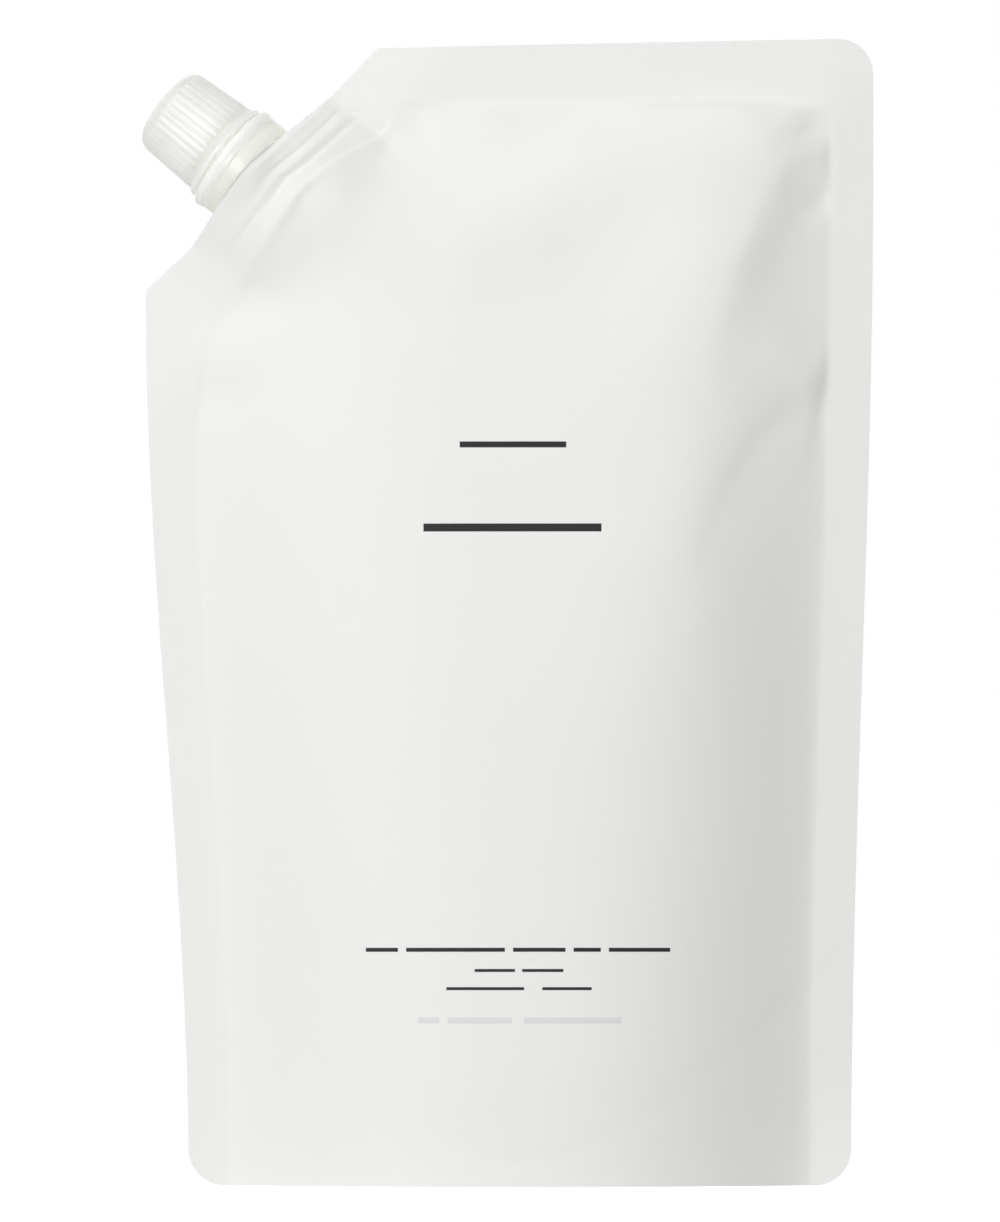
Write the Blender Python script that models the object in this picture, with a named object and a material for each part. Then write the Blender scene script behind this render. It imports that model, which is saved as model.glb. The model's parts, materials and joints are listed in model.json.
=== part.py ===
"""Refill pack for liquid hand soap: a stand-up film pouch with a screw spout in its cut corner.

The pack stands on its folded base at z = 0, its front faces -Y, and x = 0 is the middle of the base.
The spout's own frame has its z axis along the neck, pointing outwards, and z = 0 at the film's edge.
All sizes are in metres and all angles in degrees.
"""

import math

import bmesh
import bpy
from mathutils import Matrix, Vector

# Film pouch
PACK_HEIGHT = 0.260          # floor to the top edge, at the right
TOP_DROP = 0.0022            # how much lower the top edge is where the corner is cut
FILM_WIDTH = 0.165           # width of each flat panel
LEFT_DRAW_IN = 0.0098        # the filled base pulls the left side in by this much
RIGHT_DRAW_IN = 0.0052
LEFT_DRAW_TOP = 0.205        # height where the left side starts to pull in
RIGHT_DRAW_TOP = 0.235
SIDE_SEAL = 0.0090
TOP_SEAL = 0.0135
SEAL_THICKNESS = 0.0007
CORNER_RADIUS = 0.0082       # die-cut corners: top right and both at the base
BELLY_DEPTH = 0.0235         # middle plane to the front of the belly
BELLY_TAPER = 2.2            # how the belly thins upwards
BELLY_SHOULDER = 0.75
FOOT_DRAW = 0.04             # share of depth that the foot of each panel pulls in
FOOT_HEIGHT = 0.030
ROUNDNESS_BASE = 2.5         # cross-section across the width: 2 is an arc, higher is boxier
ROUNDNESS_TOP = 3.6
EDGE_RISE = 1.35             # above 1 the film leaves the seals gently

# Base gusset, folded up between the panels
SMILE_HEIGHT = 0.0057        # lowest point of the curved base seal
SMILE_RADIUS = 0.037         # its bend in the middle
SMILE_SLOPE = 1.05           # its slope towards the sides
SKIRT_THICKNESS = 0.0009
SKIRT_FADE = (0.0030, 0.0075)
BELLY_REST = 0.028           # half length of the flat patch that the gusset rests on
BELLY_REST_SHARE = 0.45      # its half width, as a share of the base

# Cut corner
CUT_DOWN = 0.0573            # from the top edge down to the left end of the cut
CUT_ACROSS = 0.0526          # from the left side to the top end of the cut
CUT_BOW = 0.0008             # the edge bows out a little under the spout
CUT_HOLLOW = 0.0010          # and is a little hollow below it
SPOUT_SHARE = 0.472          # where the spout crosses the cut, from its left end
EDGE_INSET = 0.0010          # from the spout's datum back to the straight line of the cut

# Spout
SPOUT_RISE = 38.5            # the axis above the horizontal
SPOUT_LEAN = 6.5             # and backwards, out of the pouch's plane
BOAT_LENGTH = 0.042          # weld base, shaped like a boat seen from above
BOAT_WIDTH = 0.0156
BOAT_DEPTH = 0.0123          # how deep it reaches into the film
BOAT_SETBACK = 0.0012        # its top below the straight line of the cut
BOAT_GROOVES = 3
BOAT_GROOVE_DEPTH = 0.0005
WELD_WRAP = 0.0014           # film around the base, with its clearance
WELD_BLEND = 0.045           # length over which that bulge dies out in the pouch
WELD_RUN_OUT = (0.004, 0.012)   # and past the ends of the base, above and below it
BORE_RADIUS = 0.0064
NECK_RADIUS = 0.0079
FLANGE_RADIUS = 0.01245
FLANGE_BOTTOM = 0.0008
FLANGE_THICKNESS = 0.0023
SHANK_RADIUS = 0.0093
BEAD_RADIUS = 0.0099         # ring that holds the tamper band down
BEAD_OVERLAP = 0.0013        # its lower edge below the top of the band
BEAD_LEAD_IN = 0.0003
BEAD_LAND = 0.0005
BEAD_SLOPE = 0.0014
THREAD_PITCH = 0.0030
THREAD_DEPTH = 0.0008
NECK_THREAD_LENGTH = 0.0080
NECK_PLAIN_END = 0.0026      # plain neck above the thread
LIP_CHAMFER = 0.0005
LEAN_BEND = 0.008            # length over which the film turns back with the spout

# Tamper band and cap
CLEARANCE = 0.0003
BAND_HEIGHT = 0.0031
BAND_RADIUS = 0.01285
BAND_LIP = 0.00055           # catches under the spout's bead
BAND_LIP_FACES = (0.0004, 0.0011, 0.0014)
BAND_WAIST = 0.0004          # draws in towards the foot of the band
SLIT = 0.0008
BRIDGES = 8
BRIDGE_WIDTH = 0.0009
BRIDGE_INSETS = (0.0004, 0.0005)
CAP_HEIGHT = 0.0184
CAP_RIBS = 36
CAP_RIB_DEPTH = 0.0003
CAP_TOP_RADIUS = 0.0104      # over the ribs
CAP_BASE_RADIUS = 0.0111
COLLAR_RADIUS = 0.0119
COLLAR_HEIGHT = 0.0024
CROWN_ROUND = 0.0030
CAP_TOP_WALL = 0.0016
CAP_THREAD_LENGTH = 0.0055
CAP_THREAD_START = 0.0005    # above the start of the neck's thread
THREAD_ROOM = 0.0004         # crest of one thread to root of the other
SKIRT_DEPTH = 0.0035         # wide bore that clears the bead
SKIRT_TAPER = 0.0011
PLUG_DEPTH = 0.0022
PLUG_WALL = 0.0010

# Mesh fineness
PANEL_COLUMNS = 30
ROWS_BELOW_CUT = 23
ROWS_BESIDE_CUT = 15
CORNER_STEPS = 4
TURN_SEGMENTS = 32
FACES_PER_RIB = 3
SMOOTH_ANGLE = 30

# Worked out from the sizes above
BASE_HALF = (FILM_WIDTH - LEFT_DRAW_IN - RIGHT_DRAW_IN) / 2
HALF_SEAL = SEAL_THICKNESS / 2
FILL_TOP = PACK_HEIGHT - TOP_SEAL
CUT_LOW = PACK_HEIGHT - CUT_DOWN
CUT_HIGH = PACK_HEIGHT - TOP_DROP
CUT_LEFT_X = -(BASE_HALF + LEFT_DRAW_IN)
CUT_TOP_X = CUT_LEFT_X + CUT_ACROSS
CUT_ANGLE = math.atan2(CUT_HIGH - CUT_LOW, CUT_ACROSS)
CUT_SKEW = math.pi / 2 - math.radians(SPOUT_RISE) - CUT_ANGLE   # the spout isn't quite square to it

RISE = math.radians(SPOUT_RISE)
LEAN = math.radians(SPOUT_LEAN)
AXIS_FLAT = (-math.cos(RISE), math.sin(RISE))
DATUM_X = CUT_LEFT_X + SPOUT_SHARE * CUT_ACROSS + AXIS_FLAT[0] * EDGE_INSET
DATUM_Z = CUT_LOW + SPOUT_SHARE * (CUT_HIGH - CUT_LOW) + AXIS_FLAT[1] * EDGE_INSET

BAND_BOTTOM = FLANGE_BOTTOM + FLANGE_THICKNESS + CLEARANCE
BAND_TOP = BAND_BOTTOM + BAND_HEIGHT
CAP_BOTTOM = BAND_TOP + SLIT
CAP_TOP = CAP_BOTTOM + CAP_HEIGHT
CAP_CEILING = CAP_TOP - CAP_TOP_WALL
NECK_TOP = CAP_CEILING - CLEARANCE
NECK_THREAD_TOP = NECK_TOP - NECK_PLAIN_END
NECK_THREAD_BOTTOM = NECK_THREAD_TOP - NECK_THREAD_LENGTH
CAP_THREAD_BOTTOM = NECK_THREAD_BOTTOM + CAP_THREAD_START
CAP_THREAD_TOP = CAP_THREAD_BOTTOM + CAP_THREAD_LENGTH
CAP_BORE = NECK_RADIUS + THREAD_DEPTH + THREAD_ROOM
SKIRT_BORE = BEAD_RADIUS + CLEARANCE


def ramp(value, start, end):
    """Smooth step from 0 at start to 1 at end."""
    share = min(max((value - start) / (end - start), 0.0), 1.0)
    return share * share * (3 - 2 * share)


def bump(value, centre, reach):
    """Smooth hill of height 1 that dies out at reach on both sides."""
    return ramp(abs(value - centre), reach, 0.0)


def make_object(name, mesh_work, colour, roughness):
    """Weld the work mesh, turn its faces outwards and link it as a named object."""
    bmesh.ops.remove_doubles(mesh_work, verts=mesh_work.verts, dist=1e-6)
    bmesh.ops.recalc_face_normals(mesh_work, faces=mesh_work.faces)
    mesh = bpy.data.meshes.new(name)
    mesh_work.to_mesh(mesh)
    mesh_work.free()
    mesh.shade_smooth()
    mesh.set_sharp_from_angle(angle=math.radians(SMOOTH_ANGLE))
    material = bpy.data.materials.new(name)
    material.use_nodes = True
    shader = material.node_tree.nodes["Principled BSDF"]
    shader.inputs["Base Color"].default_value = (*colour, 1.0)
    shader.inputs["Roughness"].default_value = roughness
    shader.inputs["Metallic"].default_value = 0.0
    mesh.materials.append(material)
    thing = bpy.data.objects.new(name, mesh)
    bpy.context.collection.objects.link(thing)
    return thing


# Outline of the flat film

def left_side(z):
    """Left edge as the base pulls it in, before any corner is cut."""
    pull = 0.5 + 0.5 * math.cos(math.pi * min(z / LEFT_DRAW_TOP, 1.0))
    return -(BASE_HALF + LEFT_DRAW_IN * (1 - pull))


def right_side(z):
    pull = 0.5 + 0.5 * math.cos(math.pi * min(z / RIGHT_DRAW_TOP, 1.0))
    return BASE_HALF + RIGHT_DRAW_IN * (1 - pull)


def corner_inset(distance):
    """How far a rounded corner pulls the edge in, at a distance from the end of the side."""
    if distance >= CORNER_RADIUS:
        return 0.0
    return CORNER_RADIUS - math.sqrt(max(CORNER_RADIUS ** 2 - (CORNER_RADIUS - distance) ** 2, 0.0))


def cut_line(z):
    """x of the cut corner's edge at height z."""
    share = (z - CUT_LOW) / (CUT_HIGH - CUT_LOW)
    outwards = CUT_BOW * bump(share, 0.52, 0.28) - CUT_HOLLOW * bump(share, 0.17, 0.17)
    return CUT_LEFT_X + share * CUT_ACROSS - outwards / math.sin(CUT_ANGLE)


def left_edge(z):
    if z > CUT_LOW:
        return cut_line(z)
    return left_side(z) + corner_inset(z)


def right_edge(z):
    return right_side(z) - corner_inset(z) - corner_inset(PACK_HEIGHT - z)


def fill_left(z):
    """Inner edge of the left seal, and of the weld along the cut."""
    weld = cut_line(z) + BOAT_DEPTH / math.sin(CUT_ANGLE)
    return max(left_side(z) + SIDE_SEAL, weld)


def fill_right(z):
    return right_side(z) - SIDE_SEAL


# Depth of the filled pouch

def spout_coordinates(x, z):
    """Distance along the spout's axis and across it, in the plane of the film."""
    along = (x - DATUM_X) * AXIS_FLAT[0] + (z - DATUM_Z) * AXIS_FLAT[1]
    across = (x - DATUM_X) * AXIS_FLAT[1] - (z - DATUM_Z) * AXIS_FLAT[0]
    return along, across


def middle_plane(x, z):
    """Distance back and slope of the film's middle: the cut corner leans back with its spout."""
    along, _ = spout_coordinates(x, z)
    past = max(along + BOAT_DEPTH + LEAN_BEND, 0.0)
    bent = min(past, LEAN_BEND)
    back = bent * bent / (2 * LEAN_BEND) + past - bent
    return math.tan(LEAN) * back, math.tan(LEAN) * bent / LEAN_BEND


def off_middle(x, z, distance):
    """The point at a distance from the film's middle, square to it; negative is to the front."""
    back, slope = middle_plane(x, z)
    step = distance / math.hypot(1.0, slope)
    return Vector((x - slope * AXIS_FLAT[0] * step, back + step, z - slope * AXIS_FLAT[1] * step))


def boat_half(across):
    """Half thickness of the weld base at a distance from the axis."""
    return BOAT_WIDTH / 2 * max(1 - (2 * across / BOAT_LENGTH) ** 2, 0.0)


def centre_depth(z):
    fullness = max(1 - (min(z, FILL_TOP) / FILL_TOP) ** BELLY_TAPER, 0.0) ** BELLY_SHOULDER
    return BELLY_DEPTH * fullness * (1 - FOOT_DRAW * (1 - ramp(z, 0.0, FOOT_HEIGHT)))


def half_depth(x, z):
    """Distance from the middle plane to either face."""
    low = fill_left(z)
    high = fill_right(z)
    body = 0.0
    if low < x < high and z < FILL_TOP:
        side = abs(2 * x - low - high) / (high - low)
        roundness = ROUNDNESS_BASE + (ROUNDNESS_TOP - ROUNDNESS_BASE) * z / PACK_HEIGHT
        body = centre_depth(z) * (1 - side ** roundness) ** EDGE_RISE
    along, across = spout_coordinates(x, z)
    reach = ramp(along, -BOAT_DEPTH - WELD_BLEND, -BOAT_DEPTH)
    run_out = WELD_RUN_OUT[0] if across > 0 else WELD_RUN_OUT[1]
    wrap = WELD_WRAP * ramp(abs(across), BOAT_LENGTH / 2 + run_out, BOAT_LENGTH / 2)
    weld = (boat_half(across) + wrap) * reach
    return HALF_SEAL + (body ** 4 + weld ** 4) ** 0.25


def smile(x):
    """Height of the curved seal between the panels and the gusset."""
    spread = SMILE_SLOPE * SMILE_RADIUS
    return SMILE_HEIGHT + SMILE_SLOPE * spread * (math.hypot(1.0, x / spread) - 1)


def dropped(z):
    """Height of a level row where it meets the cut corner: the top edge drops towards it."""
    return z - TOP_DROP * ramp(z, 0.5 * PACK_HEIGHT, PACK_HEIGHT)


def level(z):
    """The level row that meets the left edge at height z."""
    row = z
    for _ in range(6):
        row = z + row - dropped(row)
    return row


def panel_heights():
    """Heights of the panel's rows, closer together around the rounded corners."""
    heights = []
    for step in range(CORNER_STEPS):
        heights.append(CORNER_RADIUS * (1 - math.cos(math.pi / 2 * step / CORNER_STEPS)))
    low = CORNER_RADIUS
    high = PACK_HEIGHT - CORNER_RADIUS
    corner = level(CUT_LOW)
    for step in range(ROWS_BELOW_CUT):
        heights.append(low + (corner - low) * step / ROWS_BELOW_CUT)
    for step in range(ROWS_BESIDE_CUT + 1):
        heights.append(corner + (high - corner) * step / ROWS_BESIDE_CUT)
    for step in range(1, CORNER_STEPS + 1):
        heights.append(high + CORNER_RADIUS * math.sin(math.pi / 2 * step / CORNER_STEPS))
    return heights


def column_x(column, z):
    """x of one of the panel's columns: the outer two on each side lie on the side seals."""
    left = left_edge(dropped(z))
    right = right_edge(z)
    inner_left = max(left_side(dropped(z)) + SIDE_SEAL, left + 0.0006)
    inner_right = min(right_side(z) - SIDE_SEAL, right - 0.0006)
    if column == 0:
        return left
    if column == PANEL_COLUMNS:
        return right
    share = (column - 1) / (PANEL_COLUMNS - 2)
    eased = 0.72 * share + 0.28 * (0.5 - 0.5 * math.cos(math.pi * share))
    return inner_left + (inner_right - inner_left) * eased


def panel_point(column, z):
    """Place of a panel point in the plane of the film."""
    x = column_x(column, z)
    share = (right_side(z) - x) / (right_side(z) - CUT_TOP_X)
    return x, z - (z - dropped(z)) * min(max(share, 0.0), 1.0)


def column_chain(column, heights):
    """Closed run of points down the front, across the gusset and up the back."""
    front = []
    back = []
    for height in heights:
        x, z = panel_point(column, height)
        depth = half_depth(x, z)
        front.append(off_middle(x, z, -depth))
        back.append(off_middle(x, z, depth))
    if column in (0, PANEL_COLUMNS):
        chain = [front[0]] * 9 + [back[0]] * 8
        return list(reversed(front)) + chain + back

    foot_depth = half_depth(column_x(column, 0.0), 0.0)
    skirt = min(SKIRT_THICKNESS, 0.45 * foot_depth)
    foot_x = column_x(column, 0.0)
    seal = smile(foot_x) * ramp(foot_depth, *SKIRT_FADE)
    inside = []
    for step in range(4):
        z = seal * step / 3
        x = column_x(column, z)
        inside.append((x, half_depth(x, z) - skirt, z))
    sag = seal * ramp(abs(foot_x), BELLY_REST, BELLY_REST + 0.030) * 0.9
    x, reach, _ = inside[-1]
    gusset = []
    for step in range(1, 10):
        share = -1 + 2 * step / 10
        lift = max((abs(share) - BELLY_REST_SHARE) / (1 - BELLY_REST_SHARE), 0.0) ** 1.6
        gusset.append(Vector((x, reach * share, sag + (seal - sag) * lift)))
    down = [Vector((px, -depth, pz)) for px, depth, pz in inside]
    up = [Vector((px, depth, pz)) for px, depth, pz in reversed(inside)]
    return list(reversed(front)) + down + gusset + up + back


def build_pouch():
    """The sealed film pack with its contents: one closed solid."""
    heights = panel_heights()
    work = bmesh.new()
    chains = []
    for column in range(PANEL_COLUMNS + 1):
        chains.append([work.verts.new(point) for point in column_chain(column, heights)])
    count = len(chains[0])
    for column in range(PANEL_COLUMNS):
        here = chains[column]
        there = chains[column + 1]
        for step in range(count):
            after = (step + 1) % count
            work.faces.new((here[step], here[after], there[after], there[step]))
    rows = len(heights)
    for chain in (chains[0], chains[-1]):
        for row in range(rows - 1):
            front = chain[rows - 1 - row]
            front_up = chain[rows - 2 - row]
            back = chain[count - rows + row]
            back_up = chain[count - rows + row + 1]
            work.faces.new((front, front_up, back_up, back))
    return make_object("pouch", work, (0.86, 0.86, 0.84), 0.5)


# Turned pieces

def even_angles(segments):
    return [2 * math.pi * step / segments for step in range(segments)]


def ring(radius, along):
    """A plain turned row."""
    return lambda angle: (radius, along)


def boat_row(along, inset=0.0):
    """A row with the boat's outline, seen along the spout's axis."""
    half_width = BOAT_WIDTH / 2 - inset
    half_length = BOAT_LENGTH / 2 - inset

    def outline(angle):
        rise = abs(math.sin(angle))
        run = 2 * half_width * math.cos(angle) / half_length
        return 2 * half_width / (rise + math.hypot(rise, run)), along

    return outline


def thread_rows(root, depth, bottom, top, phases):
    """Rows that climb round the axis, one pitch in each turn, for a thread with run-out ends.

    phases lists, within one pitch, the heights of the flank's ends and whether each is on the crest.
    """
    first = math.floor(bottom / THREAD_PITCH) - 2
    last = math.ceil(top / THREAD_PITCH) + 1
    rows = []

    def climbing(turn, phase, crest):
        def row(angle):
            along = (turn + phase + angle / (2 * math.pi)) * THREAD_PITCH
            along = min(max(along, bottom), top)
            fade = ramp(along, bottom, bottom + 0.0008) * ramp(along, top, top - 0.0008)
            return root + depth * crest * fade, along
        return row

    for turn in range(first, last + 1):
        for phase, crest in phases:
            rows.append(climbing(turn, phase, crest))
    return rows


def turned_grid(work, rows, angles, threads=(), closed=True):
    """Skin a set of rows round the axis; threads gives (first row, rows, rows in a pitch)."""
    grid = []
    for angle in angles:
        column = []
        for row in rows:
            radius, along = row(angle)
            point = (radius * math.cos(angle), radius * math.sin(angle), along)
            column.append(work.verts.new(point))
        grid.append(column)

    seam = list(range(len(rows)))
    for first, amount, per_pitch in threads:
        for row in range(first, first + amount):
            seam[row] = min(row + per_pitch, first + amount - 1)

    steps = len(rows) if closed else len(rows) - 1
    for place in range(len(angles)):
        here = grid[place]
        around = (place + 1) % len(angles)
        there = grid[around]
        for row in range(steps):
            after = (row + 1) % len(rows)
            low, high = (seam[row], seam[after]) if around == 0 else (row, after)
            corners = [here[row], there[low], there[high], here[after]]
            if low == high:
                corners.remove(there[high])
            work.faces.new(corners)
    return grid


def build_spout():
    """Weld base, neck, flange, holding bead and outer thread: one moulding with a through bore."""
    rows = [ring(BORE_RADIUS, -BOAT_DEPTH), boat_row(-BOAT_DEPTH)]
    lowest_top = -EDGE_INSET - BOAT_SETBACK - math.tan(CUT_SKEW) * BOAT_LENGTH / 2
    band = (BOAT_DEPTH + lowest_top) / (2 * BOAT_GROOVES + 1)
    for groove in range(BOAT_GROOVES):
        low = -BOAT_DEPTH + band * (2 * groove + 1)
        rows += [boat_row(low), boat_row(low, BOAT_GROOVE_DEPTH)]
        rows += [boat_row(low + band, BOAT_GROOVE_DEPTH), boat_row(low + band)]
    outline = boat_row(0.0)

    def boat_top(limit):
        def row(angle):
            radius = min(outline(angle)[0], limit)
            return radius, -EDGE_INSET - BOAT_SETBACK - math.tan(CUT_SKEW) * radius * math.cos(angle)
        return row

    rows += [boat_top(BOAT_LENGTH), boat_top(BOAT_WIDTH / 2)]
    flange_top = FLANGE_BOTTOM + FLANGE_THICKNESS
    bead_low = BAND_TOP - BEAD_OVERLAP
    land_low = bead_low + BEAD_LEAD_IN
    land_high = land_low + BEAD_LAND
    rows += [
        ring(BOAT_WIDTH / 2, FLANGE_BOTTOM),
        ring(FLANGE_RADIUS, FLANGE_BOTTOM),
        ring(FLANGE_RADIUS, flange_top),
        ring(SHANK_RADIUS, flange_top),
        ring(SHANK_RADIUS, bead_low),
        ring(BEAD_RADIUS, land_low),
        ring(BEAD_RADIUS, land_high),
        ring(NECK_RADIUS, land_high + BEAD_SLOPE),
        ring(NECK_RADIUS, NECK_THREAD_BOTTOM),
    ]
    phases = ((0.0, 0), (0.12, 1), (0.44, 1), (0.56, 0))
    thread = thread_rows(NECK_RADIUS, THREAD_DEPTH, NECK_THREAD_BOTTOM, NECK_THREAD_TOP, phases)
    start = len(rows)
    rows += thread
    rows += [
        ring(NECK_RADIUS, NECK_TOP - LIP_CHAMFER),
        ring(NECK_RADIUS - LIP_CHAMFER, NECK_TOP),
        ring(BORE_RADIUS + LIP_CHAMFER, NECK_TOP),
        ring(BORE_RADIUS, NECK_TOP - LIP_CHAMFER),
    ]
    work = bmesh.new()
    turned_grid(work, rows, even_angles(TURN_SEGMENTS), [(start, len(thread), len(phases))])
    return make_object("spout", work, (0.85, 0.85, 0.76), 0.38)


def build_tamper_band():
    """Ring below the slit, with the thin bridges that tie it to the cap until it is first opened."""
    inner = BEAD_RADIUS + CLEARANCE
    lip = inner - BAND_LIP
    waist = BAND_RADIUS - BAND_WAIST
    nub = SLIT - CLEARANCE
    outer_bridge = COLLAR_RADIUS - BRIDGE_INSETS[0]
    inner_bridge = inner + BRIDGE_INSETS[1]
    lip_low, lip_high, lip_root = [BAND_BOTTOM + height for height in BAND_LIP_FACES]
    half_bridge = BRIDGE_WIDTH / 2 / outer_bridge
    sector = 2 * math.pi / BRIDGES
    soft = math.radians(0.25)

    angles = []
    for bridge in range(BRIDGES):
        centre = sector * bridge
        for offset in (-half_bridge - soft, -half_bridge, half_bridge, half_bridge + soft):
            angles.append(centre + offset)
        for share in (0.28, 0.5, 0.72):
            angles.append(centre + sector * share)

    def bridge_row(radius):
        def row(angle):
            offset = (angle + sector / 2) % sector - sector / 2
            raised = abs(offset) < half_bridge + soft / 2
            return radius, BAND_TOP + (nub if raised else 0.0)
        return row

    rows = [
        ring(waist, BAND_BOTTOM),
        ring(BAND_RADIUS, BAND_BOTTOM + 0.45 * BAND_HEIGHT),
        ring(BAND_RADIUS, BAND_BOTTOM + 0.70 * BAND_HEIGHT),
        ring(outer_bridge + 0.0003, BAND_TOP),
        ring(outer_bridge, BAND_TOP),
        bridge_row(outer_bridge),
        bridge_row(inner_bridge),
        ring(inner_bridge, BAND_TOP),
        ring(inner, BAND_TOP),
        ring(inner, lip_root),
        ring(lip, lip_high),
        ring(lip, lip_low),
        ring(inner, BAND_BOTTOM),
    ]
    work = bmesh.new()
    turned_grid(work, rows, angles)
    return make_object("tamper_band", work, (0.88, 0.88, 0.86), 0.35)


def build_cap():
    """Ribbed screw cap with a flared collar, an inner thread and a plug that seals the bore."""
    work = bmesh.new()
    segments = FACES_PER_RIB * CAP_RIBS
    rib_bottom = CAP_BOTTOM + COLLAR_HEIGHT + 0.0006
    rib_top = CAP_TOP - CROWN_ROUND

    def ribbed(radius, along):
        def row(angle):
            groove = round(angle * segments / (2 * math.pi)) % FACES_PER_RIB == 0
            return radius - (CAP_RIB_DEPTH if groove else 0.0), along
        return row

    smooth_crown = CAP_TOP_RADIUS - CAP_RIB_DEPTH
    outside = [
        ring(COLLAR_RADIUS, CAP_BOTTOM),
        ring(COLLAR_RADIUS, CAP_BOTTOM + 0.5 * COLLAR_HEIGHT),
        ring(CAP_BASE_RADIUS + 0.0001, rib_bottom),
        ribbed(CAP_BASE_RADIUS, rib_bottom),
        ribbed(CAP_TOP_RADIUS, rib_top),
    ]
    for step in range(1, 4):
        turn = math.pi / 2 * step / 3
        radius = smooth_crown - CROWN_ROUND * (1 - math.cos(turn))
        outside.append(ring(radius, rib_top + CROWN_ROUND * math.sin(turn)))
    outer = turned_grid(work, outside, even_angles(segments), closed=False)
    work.faces.new([column[-1] for column in outer])

    plug = BORE_RADIUS - CLEARANCE
    phases = ((0.54, 0), (0.66, 1), (0.90, 1), (1.02, 0))
    thread = thread_rows(CAP_BORE, -THREAD_DEPTH, CAP_THREAD_BOTTOM, CAP_THREAD_TOP, phases)
    inside = [
        ring(SKIRT_BORE, CAP_BOTTOM),
        ring(SKIRT_BORE, CAP_BOTTOM + SKIRT_DEPTH),
        ring(CAP_BORE, CAP_BOTTOM + SKIRT_DEPTH + SKIRT_TAPER),
        ring(CAP_BORE, CAP_THREAD_BOTTOM),
    ]
    start = len(inside)
    inside += thread
    inside += [
        ring(CAP_BORE, CAP_CEILING),
        ring(plug, CAP_CEILING),
        ring(plug - 0.0002, CAP_CEILING - PLUG_DEPTH),
        ring(plug - PLUG_WALL, CAP_CEILING - PLUG_DEPTH),
        ring(plug - PLUG_WALL, CAP_CEILING),
    ]
    threads = [(start, len(thread), len(phases))]
    inner = turned_grid(work, inside, even_angles(CAP_RIBS), threads, closed=False)
    work.faces.new([column[-1] for column in inner])

    for place in range(CAP_RIBS):
        following = (place + 1) % CAP_RIBS
        steps = range(place * FACES_PER_RIB, place * FACES_PER_RIB + FACES_PER_RIB + 1)
        rim = [outer[step % segments][0] for step in steps]
        work.faces.new(rim + [inner[following][0], inner[place][0]])
    return make_object("cap", work, (0.90, 0.90, 0.88), 0.35)


def build_pocket_cutter():
    """The space that the weld base takes in the pouch, with clearance all round."""
    rows = [
        ring(0.0, -BOAT_DEPTH - CLEARANCE),
        boat_row(-BOAT_DEPTH - CLEARANCE, -CLEARANCE),
        boat_row(0.006, -CLEARANCE),
        ring(0.0, 0.006),
    ]
    work = bmesh.new()
    turned_grid(work, rows, even_angles(TURN_SEGMENTS), closed=False)
    cutter = make_object("pocket_cutter", work, (0.5, 0.5, 0.5), 0.5)
    cutter.hide_render = True
    cutter.display_type = "WIRE"
    return cutter


def spout_frame():
    """Place of the spout's frame: x along the cut, y backwards, z out along the neck."""
    flat = Vector((AXIS_FLAT[0], 0.0, AXIS_FLAT[1]))
    out = (flat * math.cos(LEAN) + Vector((0.0, math.sin(LEAN), 0.0))).normalized()
    along_cut = Vector((AXIS_FLAT[1], 0.0, -AXIS_FLAT[0]))
    backwards = out.cross(along_cut)
    place = Matrix((along_cut, backwards, out)).transposed().to_4x4()
    place.translation = off_middle(DATUM_X, DATUM_Z, 0.0)
    return place


for old in list(bpy.data.objects):
    bpy.data.objects.remove(old, do_unlink=True)

axis = bpy.data.objects.new("spout_axis", None)
bpy.context.collection.objects.link(axis)
axis.matrix_world = spout_frame()

pouch = build_pouch()
cutter = build_pocket_cutter()
for piece in (build_spout(), build_tamper_band(), build_cap(), cutter):
    piece.parent = axis

pocket = pouch.modifiers.new("weld pocket", "BOOLEAN")
pocket.operation = "DIFFERENCE"
pocket.solver = "EXACT"
pocket.object = cutter
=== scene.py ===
import json
import math

import bmesh
import bpy
import numpy as np
from mathutils import Matrix, Vector


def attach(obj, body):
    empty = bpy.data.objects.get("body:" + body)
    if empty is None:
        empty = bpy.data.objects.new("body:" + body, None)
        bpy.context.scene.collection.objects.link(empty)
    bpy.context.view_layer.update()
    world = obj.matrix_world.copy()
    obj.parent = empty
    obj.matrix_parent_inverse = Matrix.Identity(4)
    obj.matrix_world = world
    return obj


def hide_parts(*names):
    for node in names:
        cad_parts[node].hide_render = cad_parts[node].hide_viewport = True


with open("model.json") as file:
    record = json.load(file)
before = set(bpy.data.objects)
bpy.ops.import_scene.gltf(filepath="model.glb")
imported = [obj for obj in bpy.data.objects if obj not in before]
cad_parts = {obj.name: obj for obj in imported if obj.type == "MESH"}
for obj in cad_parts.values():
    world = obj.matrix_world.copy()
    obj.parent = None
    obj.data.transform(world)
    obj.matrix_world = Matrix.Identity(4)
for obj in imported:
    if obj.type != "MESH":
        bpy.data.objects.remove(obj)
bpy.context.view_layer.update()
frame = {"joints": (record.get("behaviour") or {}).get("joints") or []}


# Camera and the white surface that the pack stands on
# A long lens, low down, square to the front of the pack. The picture is 1000 by 1222 pixels and
# covers 277 mm at the side seals. Floor and background are plain white.

METRES_PER_PIXEL = 0.0002265
PICTURE_HEIGHT = 1222
PIXEL_ORIGIN = (520, 1185)
VIEW_CENTRE = Vector((-0.0045, 0.0, 0.130))
CAMERA_DISTANCE = 2.6
CAMERA_HEIGHT = 0.045
SENSOR_LONG_SIDE = 36.0

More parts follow.
